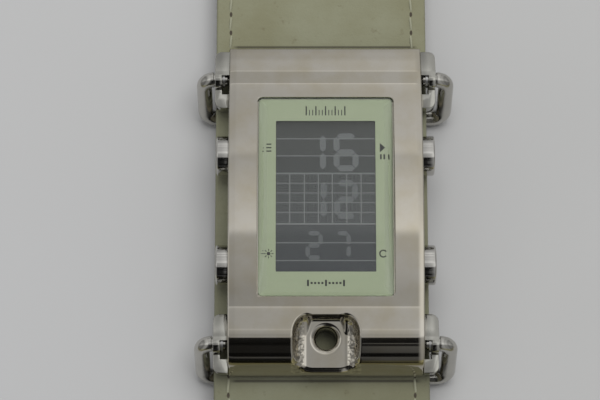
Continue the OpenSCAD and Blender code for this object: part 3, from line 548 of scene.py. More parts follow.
DISPLAY = display_glass()
GLASS = clear_glass()


# Front plate


def roll_points():
    """The roll at 6 o'clock as (y, z), from its lower end up to the shelf: three arcs, each given by the
    tilts in degrees where it starts and ends, its radius and its steps."""
    y, z = ROLL_Y, ROLL_TOP
    points = [(y, z)]
    for start, end, radius, steps in ((2.4, 12, 4.8, 13), (12, 41.5, 7.2, 33), (41.5, 90, 6.5, 49)):
        tilt = math.radians(start)
        cy, cz = y + radius * math.sin(tilt), z - radius * math.cos(tilt)
        points += arc(cy, cz, radius, 90 + start, 90 + end, steps)[1:]
        y, z = points[-1]
    return points[::-1]


def shelf_points(start_y, start_z):
    """The shelf between the roll and the front, slightly wavy: tilts in degrees at shares of its length.
    The last lines set its end on the front's corner."""
    shares, tilts = zip((0, 2.4), (0.05, 1.5), (0.12, 2.1), (0.3, 2.45), (0.75, 2.65), (0.92, 2.2), (1, 1.5))
    ys = np.linspace(start_y, SHELF_Y - 0.06, 60)
    length = ys[-1] - start_y
    z = start_z
    points = []
    for before, y in zip(ys, ys[1:]):
        tilt = np.interp((y - start_y) / length, shares, tilts)
        z += (y - before) * math.tan(math.radians(tilt))
        points.append((y, z))
    rise = SHELF_Z - 0.005 - z
    return [(y, z + rise * (y - start_y) / length) for y, z in points]


def plate_rows():
    """The plate's side outline as (y, z), from the bottom at 6 o'clock over the top to the bottom at 12,
    in fine steps where the socket is."""
    roll = roll_points()
    shelf = shelf_points(*roll[-1])
    face_y = SHELF_Y + 0.1
    first, corner, last = np.array((shelf[-1], (SHELF_Y, SHELF_Z), (face_y, face_z(face_y))))
    bend = []
    for t in np.linspace(0, 1, 7)[1:]:
        bend.append(tuple((1 - t) ** 2 * first + 2 * t * (1 - t) * corner + t**2 * last))
    face = [(y, face_z(y)) for y in np.linspace(face_y, FACET_Y, 90)[1:]]
    facets = [(FACET_Y, face_z(FACET_Y)), (19.55, 12.407), (21.75, 11.628), (23.9, 10.57), (26.1, 9.412),
              (26.1, PLATE_LOW)]
    upper = subdivide(fillet(facets, (0, 3.0, 2.2, 30, 0.5, 0), 0.05)[1:], 0.6)
    return [(roll[0][0], PLATE_LOW)] + roll + shelf + bend + face + upper


def plate_columns():
    """Where the plate has cross-sections along X, and how far each is from the outline, inwards below 0:
    flat but for a slight crown and a small round along the sides, in fine steps where the socket is."""
    edge, crown, crown_drop, fine = 0.2, 1.0, 0.06, 6.3
    lean = math.atan(2 * crown_drop / crown)
    corner = crown_drop + edge * math.cos(lean)
    rounded = arc(HALF_CASE - edge, -corner, edge, 90 - math.degrees(lean), 0, 6)
    crown_x = rounded[0][0] - crown
    crowned = [(crown_x + crown * k, -crown_drop * k * k) for k in np.linspace(0, 1, 7)[:-1]]
    flat = [(fine + (crown_x - fine) * k / 7, 0) for k in range(1, 7)]
    right = flat + crowned + rounded
    middle = [(x, 0) for x in np.linspace(-fine, fine, 141)]
    return [(-x, off) for x, off in right[::-1]] + middle + right


def socket_surface(x, y, z, level):
    """Lowers the plate's top into the socket, along the whole row at x, with a rounded rim and a lip that
    swells slightly over the roll. level is the cosine of the top's tilt."""
    flat, cove = 2.85, 2.2
    start_y, top_y, end_y = -15.0, -16.95, -25.67
    deepest, steps = 4.2, 36
    slope = math.radians(SOCKET_SLOPE)
    lip = (1 - ease((abs(x) - 2.0) / 2.6)) * ease((-23.4 - y) / 0.9)
    rim = np.interp(y, [-25.0, -23.2], [0.9, 0.3]) * (1 - lip) + 1.1 * lip
    reach = 0.75 + 2.25 * ease((abs(x) - 2.1) / 0.95)

    def outside(height):
        roll = (height - z) * level * (1 - lip) + (end_y - y) * lip
        above = (height - (SOCKET_Z + (y - HOLE_Y) * math.tan(slope))) * math.cos(slope)
        beside = max(abs(x) - flat, 0)
        beyond = np.maximum(y - top_y + reach, 0) * cove / reach
        hollow = cove - np.sqrt(beside**2 + beyond**2 + np.maximum(cove - above, 0) ** 2)
        a, b = roll + rim, hollow + rim
        return np.where((a > 0) & (b > 0), np.hypot(a, b) - rim, np.maximum(roll, hollow))

    low, high = z - deepest, z + 1.2 * lip
    for _ in range(steps):
        middle = (low + high) / 2
        out = outside(middle) > 0
        high = np.where(out, middle, high)
        low = np.where(out, low, middle)
    moved = (np.abs(z - high) > 1e-4) & (z > PLATE_LOW + 0.1) & (y < start_y)
    return np.where(moved, high, z)


def plate_form():
    """The plate's body before its openings are cut."""
    socket_half = 6.6
    outline = np.array(plate_rows())
    after, before = np.roll(outline, -1, 0), np.roll(outline, 1, 0)
    before[0] = outline[0] + (outline[0] - outline[1])
    after[-1] = outline[-1] + (outline[-1] - outline[-2])
    tangent = after - before
    tangent /= np.linalg.norm(tangent, axis=1)[:, None]
    normal = np.stack([-tangent[:, 1], tangent[:, 0]], 1)
    rows = []
    for x, off in plate_columns():
        y, z = (outline + normal * off).T
        z[[0, -1]] = PLATE_LOW
        if abs(x) < socket_half:
            z = socket_surface(x, y, z, normal[:, 1])
        rows.append([(x, b, c) for b, c in zip(y, z)])
    verts, faces = loft(rows)
    return verts, [f[::-1] for f in faces]


def hole_mouth():
    """The rounded mouth of the lanyard hole, square to the sloping floor."""
    soft, sink, throat, wide, reach = 0.88, 0.1, 1.2, 2.6, 1.6
    profile = [(-reach, throat)] + arc(-sink - soft, HOLE_R + soft, soft, -90, 0, 12)
    profile += [(-sink, wide), (reach, wide)]
    ob = plain("mouth", lathe(profile, (0, 0, 0), 96, "Z"))
    tilt = Matrix.Rotation(math.radians(SOCKET_SLOPE), 4, "X")
    ob.data.transform(Matrix.Translation((0, HOLE_Y * MM, SOCKET_Z * MM)) @ tilt)
    return ob


def crystal_opening():
    """The opening round the crystal, with a small round flare where it meets the curved front."""
    w, l, r, flare, low, high = 21.1, 31.4, 0.8, 0.04, 11.6, 18.0
    rows = [[(x, y, low) for x, y in round_rect(w, l, r, 10, cy=CRYSTAL_Y)]]
    for t in np.linspace(0, QUARTER, 5):
        out = flare * (1 - math.cos(t))
        ring = round_rect(w + 2 * out, l + 2 * out, r + out, 10, cy=CRYSTAL_Y)
        rows.append([(x, y, face_z(y) + flare * (math.sin(t) - 1)) for x, y in ring])
    rows.append([(x, y, high) for x, y, _ in rows[-1]])
    return loft(rows)


def front_plate():
    below, deck_z, beyond = 5.0, 10.6, HALF_CASE + 1
    rail_x, rail_y, rail_z = 11.55, 12.65, (10.0, 12.3)
    pocket_x, pocket_r = 13.9, PUSHER_R + 0.1
    ob = plain("watch_front_plate", plate_form())
    cut(
        ob,
        block(-beyond, beyond, -17.55, 18.55, below, deck_z),
        block(rail_x, beyond, -rail_y, rail_y, *rail_z),
        block(-beyond, -rail_x, -rail_y, rail_y, *rail_z),
        lathe([(below, HOLE_R), (11.0, HOLE_R)], (0, HOLE_Y, 0), 96, "Z"),
        hole_mouth(),
        prism(round_rect(18.9, 29.2, 0.7, cy=CRYSTAL_Y), below, 12.5),
        crystal_opening(),
    )
    for sign in (-1, 1):
        for y in (-PUSHER_Y, PUSHER_Y):
            cut(ob, lathe([(pocket_x, pocket_r), (beyond, pocket_r)], (0, y, PUSHER_Z), 66, sign=sign))
    dress(ob, PLATE, "case", 30, ("front_plate",))
    paint(ob, PLATE, SOCKET, HOLE_SHADE_STEEL)
    for face in ob.data.polygons:
        x, y, z = (c / MM for c in face.center)
        in_hole = math.hypot(x, y - HOLE_Y) < HOLE_R + 1.0 and z < SOCKET_Z - 1.0
        on_cove = 3.35 < abs(x) < 5.4 and -25.4 < y < -16.6 and 8.4 < z < face_z(y) - 0.25
        # The hole's walls take the dark steel that paints the shade inside the hole.
        if in_hole and abs(face.normal.z) < 0.5:
            face.material_index = 2
        elif on_cove:
            face.material_index = 1


front_plate()


# Crystal, mask and display


def crystal():
    """The glass: a soft rim round a curved top that falls a little more along both long sides."""
    w, l, r, soft = 20.74, 31.16, 0.64, 0.05
    fall_x, fall = w / 2 - 1.2, 0.125

    def top(x, y):
        return face_z(y) - max(0.0, abs(x) - fall_x) * fall

    loops = [[(x, y, MASK_TOP) for x, y in round_rect(w, l, r, 6, cy=CRYSTAL_Y)]]
    for t in np.linspace(0, QUARTER, 5):
        inset = soft * (1 - math.cos(t))
        ring = round_rect(w - 2 * inset, l - 2 * inset, r - inset * 0.5, 6, cy=CRYSTAL_Y)
        loops.append([(x, y, top(x, y) - soft + soft * math.sin(t)) for x, y in ring])
    inner = [(x, y) for x, y, _ in loops[-1]]
    across = [-fall_x - 0.4, -fall_x] + list(np.linspace(-8, 8, 9)) + [fall_x, fall_x + 0.4]
    grid = [(x, y) for x in across for y in np.linspace(-13.6, 16.6, 42)]
    cap_verts, cap_faces, (rim,) = fill([inner], grid, top)
    verts, faces = loft(loops, caps=False)
    number = {old: len(verts) - len(inner) + i for i, old in enumerate(rim)}
    for old, point in enumerate(cap_verts):
        if old not in number:
            number[old] = len(verts)
            verts.append(point)
    faces += [tuple(number[i] for i in face) for face in cap_faces]
    faces.append(tuple(range(len(inner)))[::-1])
    ob = make("watch_crystal", (verts, faces), GLASS, "case", 12, ("crystal",))
    ob.visible_shadow = False


crystal()


def dial_mask():
    outer = round_rect(20.44, 30.86, 0.5, 6, cy=CRYSTAL_Y)
    window = round_rect(15.4, 23.5, 0.12, 3, cy=DISPLAY_Y)
    verts, faces, (outside, hole) = fill([outer, window], [], lambda x, y: MASK_TOP)
    n = len(verts)
    verts += [(x, y, MASK_LOW) for x, y, _ in verts]
    faces += [tuple(i + n for i in f[::-1]) for f in faces]
    for ring in (outside, hole[::-1]):
        faces += [(i, i + n, j + n, j) for i, j in zip(ring, ring[1:] + ring[:1])]
    make("watch_dial_mask", (verts, faces), MINT, "case", 30, ("dial_mask",))


dial_mask()


def flat_plates(name, outlines, z0, z1, material):
    """Thin flat pieces, each given by its outline, such as printed marks."""
    make(name, join(*[prism(o, z0, z1) for o in outlines]), material, "case", 30, ())


def mask_edges():
    """The mask's long sides, darker in painted shade under the crystal's falling edge, with mitred ends."""
    outer, low, high = 10.2, -13.8, 16.8
    for name, inner, top, material in (
        ("outer", 9.55, 12.106, MINT_EDGE_SHADE),
        ("inner", 9.0, 12.103, MINT_SHADE),
    ):
        mitre = outer - inner
        strip = [(outer, low), (outer, high), (inner, high - mitre), (inner, low + mitre)]
        strips = [[(sx * x, y) for x, y in strip][::sx] for sx in (-1, 1)]
        flat_plates(f"watch_dial_mask_{name}_edges", strips, MASK_TOP - 0.01, top, material)


mask_edges()


def ticks():
    """A row of ticks above the display, and a row of dots and ticks below it."""
    marks = []
    for i in range(-6, 7):
        w, h = (0.13, 0.9) if i % 3 else (0.2, 1.5)
        marks.append(rect(i * 0.5, 14.25 + h / 2, w, h))
    for i in range(-5, 6):
        w, h = (0.32, 0.32) if i % 5 else (0.3, 0.95)
        marks.append(rect(i * 0.55, -11.9, w, h))
    return marks


def signs():
    """A sign beside each pusher: three bars, a triangle over two bars, a sun, and an open ring."""
    left, right, low = -8.75, 8.75, -7.4
    marks = [rect(left, 9.6 - i * 0.55, 0.75, 0.2) for i in range(3)]
    marks.append([(right - 0.4, 9.8), (right + 0.4, 9.05), (right - 0.4, 8.3)])
    marks += [rect(right + side, 7.6, 0.25, 0.8) for side in (-0.25, 0.25)]
    marks.append(arc(left, low, 0.28, 0, 360, 12)[:-1])
    for k in range(8):
        c, s = math.cos(math.pi * k / 4), math.sin(math.pi * k / 4)
        marks.append([(left + u * c - v * s, low + u * s + v * c) for u, v in rect(0.57, 0, 0.3, 0.12)])
    marks.append(arc(right, low, 0.62, 34.4, 320.9, 15) + arc(right, low, 0.42, 320.9, 34.4, 15))
    return marks


flat_plates("watch_dial_marks", ticks() + signs(), MASK_TOP - 0.005, MASK_TOP + 0.015, INK)
paint(NODES["lcd_panel"], DISPLAY)
paint(NODES["crystal_gasket"], RUBBER)


def display_plates(name, outlines, low, high, material):
    """Flat pieces between two heights over the display's glass."""
    z0, z1 = DISPLAY_TOP + low, DISPLAY_TOP + high
    flat_plates(f"watch_display_{name}", outlines, z0, z1, material)


def display_lines():
    """The lines printed on the display, and the fine net in its middle field."""
    width, field_y, field = 15.6, 1.185, 7.7
    lines = [rect(0, y, width, 0.16) for y in (10.56, 7.85, -5.60, -8.32)]
    lines += [rect(0, y, width, 0.12) for y in (3.55, 2.05, 0.55, -0.95)]
    lines += [rect(x, field_y, 0.17, field) for x in (-5.55, -3.30, -1.13, 1.03, 3.24, 5.46)]
    lines += [rect(0, y, width, 0.24) for y in (5.08, -2.71)]
    net = [rect(x, field_y, 0.05, field - 0.1) for x in np.arange(-7.4, 7.5, 0.55)]
    net += [rect(0, y, width, 0.05) for y in np.arange(-2.3, 4.9, 0.375)]
    display_plates("lines", lines, 0.005, 0.02, LINE)
    display_plates("fine_grid", net, 0.002, 0.009, FAINT)


# The bars that make each digit
SEGMENTS = {"1": "bc", "2": "abged", "6": "acdefg", "7": "abc"}


def digit(char, cx, cy, w, h, t):
    """Outlines of a seven-segment digit's pointed bars, t thick, centred on (cx, cy)."""
    half, gap = t / 2, 0.07
    left, right = cx - w / 2 + half, cx + w / 2 - half
    low, top = cy - h / 2 + half, cy + h / 2 - half
    level = {"a": top, "g": cy, "d": low}
    upright = {"f": (left, cy, top), "b": (right, cy, top), "e": (left, low, cy), "c": (right, low, cy)}

    def bar(at, start, end):
        a, b = start + gap, end - gap
        return [(a, at), (a + half, at - half), (b - half, at - half), (b, at), (b - half, at + half),
                (a + half, at + half)]

    out = []
    for segment in SEGMENTS[char]:
        if segment in level:
            out.append(bar(level[segment], left, right))
        else:
            out.append([(x, y) for y, x in bar(*upright[segment])][::-1])
    return out


def display_digits():
    clear = digit("1", -1.55, 8.42, 3.2, 6.5, 0.95) + digit("6", 3.15, 8.42, 3.9, 6.0, 0.95)
    dim = digit("1", -1.45, 1.05, 3.2, 6.5, 0.95) + digit("2", 3.15, 1.05, 3.7, 6.0, 0.95)
    dim += digit("2", -1.8, -6.0, 2.7, 4.4, 0.7) + digit("7", 2.6, -6.0, 2.5, 4.4, 0.7)
    display_plates("digits", clear, 0.0035, 0.0105, SEGMENT)
    display_plates("dim_digits", dim, 0.0035, 0.0105, DIM_SEGMENT)


display_lines()
display_digits()


# Pushers, lugs and rings


def pusher(name, sx, y):
    """A turned cap with soft edges and a faintly hollow end, on its stem."""
    stem, back, front, rear_edge, edge = 1.0, 14.8, 17.0, 0.15, 0.32
    profile = [(10.9, 0), (10.9, stem - 0.2), (11.1, stem), (back, stem), (back, PUSHER_R - rear_edge)]
    profile += arc(back + rear_edge, PUSHER_R - rear_edge, rear_edge, 180, 90, 4)
    profile += arc(front - edge, PUSHER_R - edge, edge, 90, 0, 7)
    profile += [(front - 0.02, 2.45), (front - 0.05, 1.6), (front - 0.06, 0.8), (front - 0.06, 0)]
    form = lathe(profile, (0, y, PUSHER_Z), 72, sign=sx)
    make(f"watch_{name}_pusher", form, PUSHER, f"{name}_button", 32, (f"{name}_pusher",))


def spring(name):
    """The coil spring behind a pusher."""
    low, high = (np.array(corner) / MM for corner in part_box(f"{name}_spring"))
    sx = 1 if low[0] > 0 else -1
    fixed = low[0] if sx > 0 else high[0]
    length = high[0] - low[0]
    wire, turns, travel = 0.13, 3, 0.82
    radius = (high[2] - low[2]) / 2 - wire
    y, z = (low[1:] + high[1:]) / 2
    path = []
    for share in np.linspace(0, 1, 36 * turns + 1):
        angle = 2 * math.pi * turns * share
        x = fixed + sx * (wire + (length - 2 * wire) * share)
        path.append((x, y + radius * math.cos(angle), z + radius * math.sin(angle)))
    form = tube(path, wire, 10)
    ob = make(f"watch_{name}_spring", form, BRUSHED, "case", 40, (f"{name}_spring",))
    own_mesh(ob)


for name, (sx, y) in BUTTONS.items():
    pusher(name, sx, y)
for name in BUTTONS:
    spring(name)


def lug(name, sx, pivot_y):
    """A lug beside the plate: a sloping block, a round knuckle for the pin, a low foot, and a notch
    between them beside the plate. It is made on the right, and mirrored for the left."""
    inner, outer, end, foot_z, knuckle, pin_room = 15.0, 17.3, 4.6, 6.4, 1.75, 1.05
    pivot = (0, pivot_y, PIVOT_Z)
    side = [(-end, foot_z), (end, foot_z), (end, 9.4), (0.9, 11.2)]
    side += arc(0, PIVOT_Z, knuckle, 76.3, 166.3, 12)
    side.append((-end, 9.6))
    ob = plain(f"watch_{name}_lug", prism([(pivot_y + v, z) for v, z in side], inner, outer, "X"))
    cut(ob, prism(round_rect(2 * outer, 2 * end, 1.1, cy=pivot_y), 5, 12), how="INTERSECT")
    cut(ob, block(13, 16.2, pivot_y - 2.4, pivot_y + 0.3, 5, 13))
    bevel(ob, 0.17, 22)
    cut(ob, lathe([(14, 1.4), (16.2, 1.4)], pivot, 40))
    cut(ob, lathe([(14, pin_room), (17.2, pin_room), (18, 1.45)], pivot, 32))
    if sx < 0:
        ob.data.transform(Matrix.Diagonal((-1, 1, 1, 1)))
        ob.data.flip_normals()
    dress(ob, LUG, "case", 25, (f"{name}_lug",))


def wire_ring(name, pivot_y):
    """The wire U, with its pins turned in and its bends round, leaning so that its foot is on the floor."""
    shoulder_x, shoulder, reach, foot_r = 17.5, 1.6, 9.3, 2.0
    leg_x, foot_v = shoulder_x + shoulder, foot_r - reach
    lean = math.acos((PIVOT_Z - WIRE_R) / reach)
    path = arc(shoulder_x, -shoulder, shoulder, 90, 0, 10)
    path += [(leg_x, v) for v in np.linspace(-shoulder, foot_v, 7)[1:]]
    path += arc(leg_x - foot_r, foot_v, foot_r, 0, -90, 10)[1:]
    path += [(u, -reach) for u in (11.4, 5.7, 0.0)]
    path += [(-u, v) for u, v in path[-2::-1]]
    wire = [(u, pivot_y + v * math.sin(lean), PIVOT_Z + v * math.cos(lean)) for u, v in path]
    forms = [tube(wire, WIRE_R, 28)]
    pin = [(15.25, 0), (15.25, 0.85), (15.4, PIN_R), (17.52, PIN_R)]
    collar = [(shoulder_x, 0), (shoulder_x, 1.08), (17.62, WIRE_R), (17.7, WIRE_R)]
    for sx in (-1, 1):
        forms += [lathe(profile, (0, pivot_y, PIVOT_Z), 28, sign=sx) for profile in (pin, collar)]
    make(f"watch_{name}_ring", join(*forms), RING, f"{name}_loop", 35, (f"{name}_ring",))


for name, pivot_y in (("upper", PIVOT_Y), ("lower", -PIVOT_Y)):
    lug(f"{name}_left", -1, pivot_y)
    lug(f"{name}_right", 1, pivot_y)
wire_ring("upper", PIVOT_Y)
wire_ring("lower", -PIVOT_Y)


# Strap


def half_width(y):
    """Half the strap's width at y, from its round tip to the buckle."""
    if y < TIP_Y:
        return math.sqrt(max(0.0, TIP_R**2 - (y - TIP_Y) ** 2))
    return np.interp(y, [-96, -46, 46, 76], [TIP_R, STRAP_HALF, STRAP_HALF, TIP_R])


def ribbon(stations, low, high, edge, steps=9):
    """A strip of leather with soft edges. Each station is (y, z, tangent angle, half width), and low and
    high are the distances of its two faces from that line."""
    rows = []
    for y, z, a, w in stations:
        w = max(w, 0.25)
        e = min(edge, w * 0.6, (high - low) / 2 - 0.02)
        flat = w - e
        across = np.linspace(-flat, flat, steps + 1)
        section = [(u, high) for u in across]
        section += arc(flat, high - e, e, 90, 0, 4)[1:] + arc(flat, low + e, e, 0, -90, 3)
        section += [(u, low) for u in across[-2::-1]]
        section += arc(-flat, low + e, e, -90, -180, 3)[1:] + arc(-flat, high - e, e, 180, 90, 4)[:-1]
        rows.append([(STRAP_X + u, y - math.sin(a) * v, z + math.cos(a) * v) for u, v in section])
    return loft(rows)


def strap_stations(end, *more):
    """Where the strap has cross-sections along Y, closer together at the round tip."""
    ys = [TIP_Y - TIP_R * math.cos(t) for t in np.linspace(0.03, QUARTER, 22)]
    ys += list(np.arange(-106.5, 34, 1.5)) + list(np.arange(34, end, 1.5)) + list(more)
    near = 0.01
    slopes = [math.atan((strap_z(y + near) - strap_z(y - near)) / (2 * near)) for y in ys]
    return [(y, strap_z(y), slope, half_width(y)) for y, slope in zip(ys, slopes)]


def strap_head():
    """The end of the outer leather: up over the buckle's bar, round it and back underneath."""
    run, start_z, rise, lay, under_z = 12.0, 3.2, 1.7, 1.55, 1.8
    path = []
    for t in np.linspace(0, 1, 12)[1:]:
        slope = math.atan(rise / run * math.sin(math.pi * t) * QUARTER)
        path.append((97.6 + run * t, start_z + rise * ease(t), slope))
    for a in np.linspace(QUARTER, -QUARTER, 22)[1:]:
        path.append((BAR_Y + lay * math.cos(a), BAR_Z + lay * math.sin(a), a - QUARTER))
    for y in np.linspace(BAR_Y - 1.2, 92.3, 12):
        path.append((y, under_z, -math.pi))
    return ribbon([(y, z, a, TIP_R) for y, z, a in path], -0.6, 0.6, 0.38)


def punch(ob):
    """The seven holes for the buckle's tongue, each a little wider at the top."""
    for i in range(7):
        profile = [(-1.0, 1.1), (2.3, 1.1), (2.7, 1.22), (4, 1.4)]
        cut(ob, lathe(profile, (STRAP_X, 7 * i - 106, 0), 28, "Z"))


def strap_outer():
    run = ribbon(strap_stations(97.5), LINING_TOP, STRAP_TOP, 0.42)
    ob = plain("watch_strap_outer", join(run, strap_head()))
    slot_r, slot_start, slot_end = 1.6, 107.1, 112.9
    slot = arc(STRAP_X, slot_start, slot_r, -180, 0, 12)
    slot += [(STRAP_X + slot_r, slot_end), (STRAP_X - slot_r, slot_end)]
    cut(ob, prism(slot, 0.2, 7.0))
    punch(ob)
    dress(ob, SAGE, "strap", 40, ("strap_outer",))


def strap_lining():
    """The lining, set in a little from the outer leather's edge."""
    inset, least = 0.12, 0.2
    stations = [(y, z, a, max(least, w - inset)) for y, z, a, w in strap_stations(92.2, 92.1)]
    ob = plain("watch_strap_lining", ribbon(stations, 0.0, LINING_TOP, 0.3))
    punch(ob)
    dress(ob, LINING, "strap", 40, ("strap_lining",))


strap_outer()
strap_lining()


def seam_path():
    """The stitched line, 2.3 mm inside the strap's edge: down one side, round the tip and back."""
    inset = 2.3
    right = [(half_width(y) - inset, y) for y in np.arange(94.0, -107.9, -1.0)]
    tip = arc(0, TIP_Y, TIP_R - inset, 0, -180, 39)
    return np.array(right + tip + [(-x, y) for x, y in right[::-1]])


def stitches():
    """One short arc of thread for each stitch, and a dark oval of painted shade where the small hole is
    that it dips into.
    """
    pitch, long, thread_r, ends = 3.05, 2.55, 0.2, 0.8
    path = seam_path()
    lengths = np.concatenate([[0], np.cumsum(np.linalg.norm(np.diff(path, axis=0), axis=1))])
    count = int(lengths[-1] / pitch)

    def on_seam(s):
        return np.array((np.interp(s, lengths, path[:, 0]), np.interp(s, lengths, path[:, 1])))

    threads, holes = [], []
    for i in range(count):
        mid = (i + 0.5) * lengths[-1] / count
        line = [on_seam(s) for s in np.linspace(mid - long / 2, mid + long / 2, 7)]
        wobble = rng.normal(0, 0.03)
        points = []
        for share, (x, y) in zip(np.linspace(-1, 1, 7), line):
            lift = 0.05 - 0.40 * abs(share) ** 3
            points.append((STRAP_X + x + wobble + 0.10 * share, y, strap_z(y) + STRAP_TOP + lift))
        threads.append(tube(points, thread_r, 7, [ends, 1, 1, 1, 1, 1, ends]))
        x, y = on_seam((i + 1) * lengths[-1] / count)
        dx, dy = (line[-1] - line[0]) / np.linalg.norm(line[-1] - line[0])
        z = strap_z(y) + STRAP_TOP
        # A flat dark oval on the leather, painted shade for the stitch hole.
        oval = [(0.42 * u, 0.22 * v) for u, v in arc(0, 0, 1, 0, 360, 10)[:-1]]
        ring = [(STRAP_X + x + dx * u - dy * v, y + dy * u + dx * v) for u, v in oval]
        holes.append(prism(ring, z - 0.3, z + 0.012))
    make("watch_strap_thread", join(*threads), THREAD, "strap", 60, ())
    make("watch_strap_stitch_hole_shades", join(*holes), STITCH_HOLE_SHADE, "strap", 30, ())


stitches()


def keeper(name, y, floor_z, body):
    """A leather band round the strap, with soft edges."""
    length, thick, room_w, room_top = 6.0, 1.2, 28.8, 6.9
    top = room_top + thick
    inner = round_rect(room_w, room_top - floor_z, 0.4, 5, STRAP_X, (room_top + floor_z) / 2)
    outer = round_rect(room_w + 2 * thick, top, 1.6, 5, STRAP_X, top / 2)
    rows = []
    for outline, end in ((inner, 1), (outer, 1), (outer, -1), (inner, -1)):
        rows.append([(x, y + end * length / 2, z) for x, z in outline])
    ob = plain(f"watch_{name}", ([p for row in rows for p in row], ring_faces(4, len(inner), True)))
    bevel(ob, 0.35, 40)
    dress(ob, SAGE, body, 40, (name,))


keeper("fixed_keeper", 99.198, 1.2, "strap")
keeper("free_keeper", 86.198, 1.1, "loose_keeper")


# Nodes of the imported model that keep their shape

for names, material in (
    (("case_middle", "case_back", "case_screws", "quartz_can", "battery", "upper_ring_clips",
      "lower_ring_clips", "buckle_bar"), BRUSHED),
    ([f"{name}_clip" for name in BUTTONS], BRUSHED),
    (("buckle_frame", "buckle_tongue"), POLISHED),
    (("back_gasket", "zebra_strips", "pusher_seals"), RUBBER),
    (("backlight_panel", "module_frame"), WHITE),
    (("circuit_board",), GREEN),
    (("driver_chip",), BLACK),
    (("battery_clip", "buzzer_disc", "switch_leaves"), BRASS),
):
    for name in names:
        paint(NODES[name], material)


# Floor, studio and camera

# Levels of the ceiling, by degrees from straight up: towards 12 o'clock below 0, towards 6 above 0.
CEILING = [
    (-100, 0.25), (-74, 0.54), (-66, 0.72), (-60, 0.98), (-56.5, 0.60), (-52.5, 0.58), (-50, 0.92),
    (-47, 0.92), (-45.2, 0.71), (-42, 0.655), (-30, 0.70), (-26.5, 0.78), (-25.3, 0.78),
    (-24.3, 0.63), (-15, 0.82), (-7, 0.94), (-4.5, 0.99), (-3.6, 0.76), (-2.8, 0.60), (7, 0.54),
    (12, 0.46), (19.6, 0.50), (20.7, 0.018), (36, 0.006), (42, 0.018), (58, 0.018), (61, 0.006), (69, 0.006),
    (72.5, 0.11), (76, 0.01), (93, 0.01), (95, 0.19),
]
# A line and two broad faint bands in the dark part, only a little to the right.
HAZE = [
    (33, 0.0), (35, 0.15), (37, 0.0), (40, 0.0), (43, 0.10), (58, 0.07), (61, 0.0), (73, 0.0), (76, 0.08),
    (86, 0.08), (89, 0.0),
]
# Levels far to the left and right, by the direction's share along X, and how they change with the lean.
SIDES = [
    (-1, 0.40), (-0.86, 0.50), (-0.72, 0.30), (-0.62, 0.75), (-0.40, 0.95), (-0.34, 0.52), (-0.15, 0.46),
    (0, 0.70), (0.15, 0.95), (0.36, 1.0), (0.45, 0.60), (0.58, 0.80), (0.72, 0.40), (0.86, 0.55), (1, 0.40),
]
SIDE_HEIGHTS = [
    (-100, 0.45), (-60, 0.62), (-14, 0.74), (-4, 0.98), (16, 0.98), (22, 0.45), (80, 0.35), (100, 0.45),
]
SIDE_GAIN = 1.15
ROOM_LIGHT = 0.66


def studio_floor():
    """A grey floor, a little darker to the right as painted shade. Only in reflections it turns olive beyond
    the watch, towards 6 o'clock, as a painted reflection.
    """
    half = 3000.0
    s = Shader("floor_finish", (0.36, 0.36, 0.355), 0.0, 0.75, specular_ior_level=0.2)
    x, y, _ = s.split(s.place())
    # Painted shade: the floor a little darker to the right.
    side = s.ramp(x, [(-50, (0.345, 0.347, 0.352)), (50, (0.302, 0.302, 0.298))], -50, 50)
    cloudy = s.mix(s.noise(0.02, detail=4.0), side, (0.335, 0.335, 0.333))
    # Painted reflection: beyond the watch towards 6 o'clock the floor turns olive, only in reflections.
    far = s.math("MULTIPLY_ADD", y, -0.02, -1.2, clamp=True)
    seen = s.math("MULTIPLY", far, s.node("ShaderNodeLightPath").outputs["Is Glossy Ray"])
    s.to("Base Color", s.mix(seen, cloudy, (0.14, 0.128, 0.055)))
    corners = [(u, v, 0) for u, v in rect(0, 0, 2 * half, 2 * half)]
    ob = plain("studio_floor", (corners, [(0, 1, 2, 3)]))
    paint(ob, s.mat)


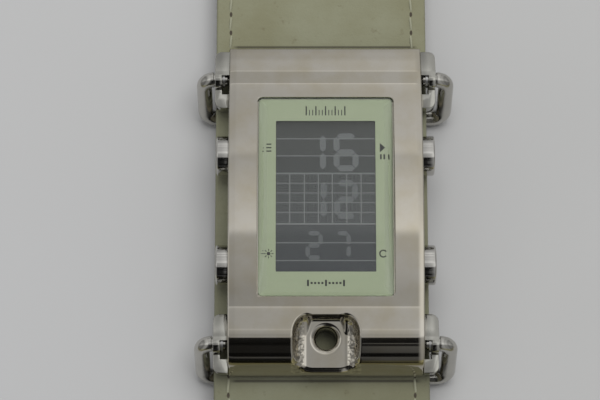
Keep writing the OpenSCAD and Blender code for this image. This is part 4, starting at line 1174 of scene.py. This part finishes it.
def surroundings():
    """A soft room: plain grey light, and for reflections a pale ceiling in broad steps, the dark side of
    the room in front of the object, and walls far to the left and right."""
    world = bpy.data.worlds.new("studio")
    bpy.context.scene.world = world
    world.use_nodes = True
    s = Nodes(world.node_tree)
    dx, dy, dz = s.split(s.node("ShaderNodeTexCoord").outputs["Generated"])
    lean = s.math("MULTIPLY", s.math("ARCTAN2", s.math("MULTIPLY", dy, -1.0), dz), 180 / math.pi)
    near = s.math("MINIMUM", s.math("MAXIMUM", dx, -0.07), 0.07)
    along = s.math("MULTIPLY", s.ramp(lean, CEILING, -100, 100), s.math("MULTIPLY_ADD", near, 2.0, 1.0))
    rightwards = s.math("MULTIPLY_ADD", dx, 40.0, -0.6, clamp=True)
    along = s.math("ADD", along, s.math("MULTIPLY", s.ramp(lean, HAZE, 0, 100), rightwards))
    side = s.math("MULTIPLY", s.ramp(dx, SIDES, -1, 1), s.ramp(lean, SIDE_HEIGHTS, -100, 100))
    side = s.math("MULTIPLY", side, SIDE_GAIN)
    far_right, far_left = s.math("MULTIPLY_ADD", dx, 9.0, -0.85), s.math("MULTIPLY_ADD", dx, -9.0, -2.6)
    share = s.math("MAXIMUM", far_right, far_left, clamp=True)
    rest = s.math("SUBTRACT", 1.0, share)
    seen = s.math("ADD", s.math("MULTIPLY", along, rest), s.math("MULTIPLY", side, share))
    glossy = s.node("ShaderNodeLightPath").outputs["Is Glossy Ray"]
    light = s.math("MULTIPLY", s.math("SUBTRACT", 1.0, glossy), ROOM_LIGHT)
    level = s.math("ADD", s.math("MULTIPLY", seen, glossy), light)
    low = s.math("MULTIPLY", s.math("MULTIPLY_ADD", lean, 0.25, -20.0, clamp=True), glossy)
    tinted = s.mix(low, level, (1.0, 0.94, 0.55), "MULTIPLY")
    s.feed(world.node_tree.nodes["Background"].inputs["Color"], tinted)


def lamp():
    """A large soft lamp above, a little to the right and towards 12 o'clock, aimed at the watch."""
    data = bpy.data.lights.new("studio_lamp", "AREA")
    data.shape = "RECTANGLE"
    data.size = 0.7
    data.size_y = 0.5
    data.energy = 7.0
    ob = bpy.data.objects.new("studio_lamp", data)
    ob.location = (0.12, 0.25, 0.79)
    ob.rotation_euler = (-ob.location).to_track_quat("-Z", "Y").to_euler()
    ob.visible_glossy = False
    ob.visible_transmission = False
    bpy.context.scene.collection.objects.link(ob)


def camera():
    data = bpy.data.cameras.new("camera")
    data.sensor_width = 36.0
    data.lens = 117.84
    data.clip_start = 0.01
    data.clip_end = 20.0
    ob = bpy.data.objects.new("camera", data)
    ob.location = (-0.00397, -0.05935, 0.30898)
    ob.rotation_euler = (math.radians(11.5), 0, 0)
    bpy.context.scene.collection.objects.link(ob)
    bpy.context.scene.camera = ob


studio_floor()
surroundings()
lamp()
camera()
bpy.context.scene.view_settings.view_transform = "Standard"
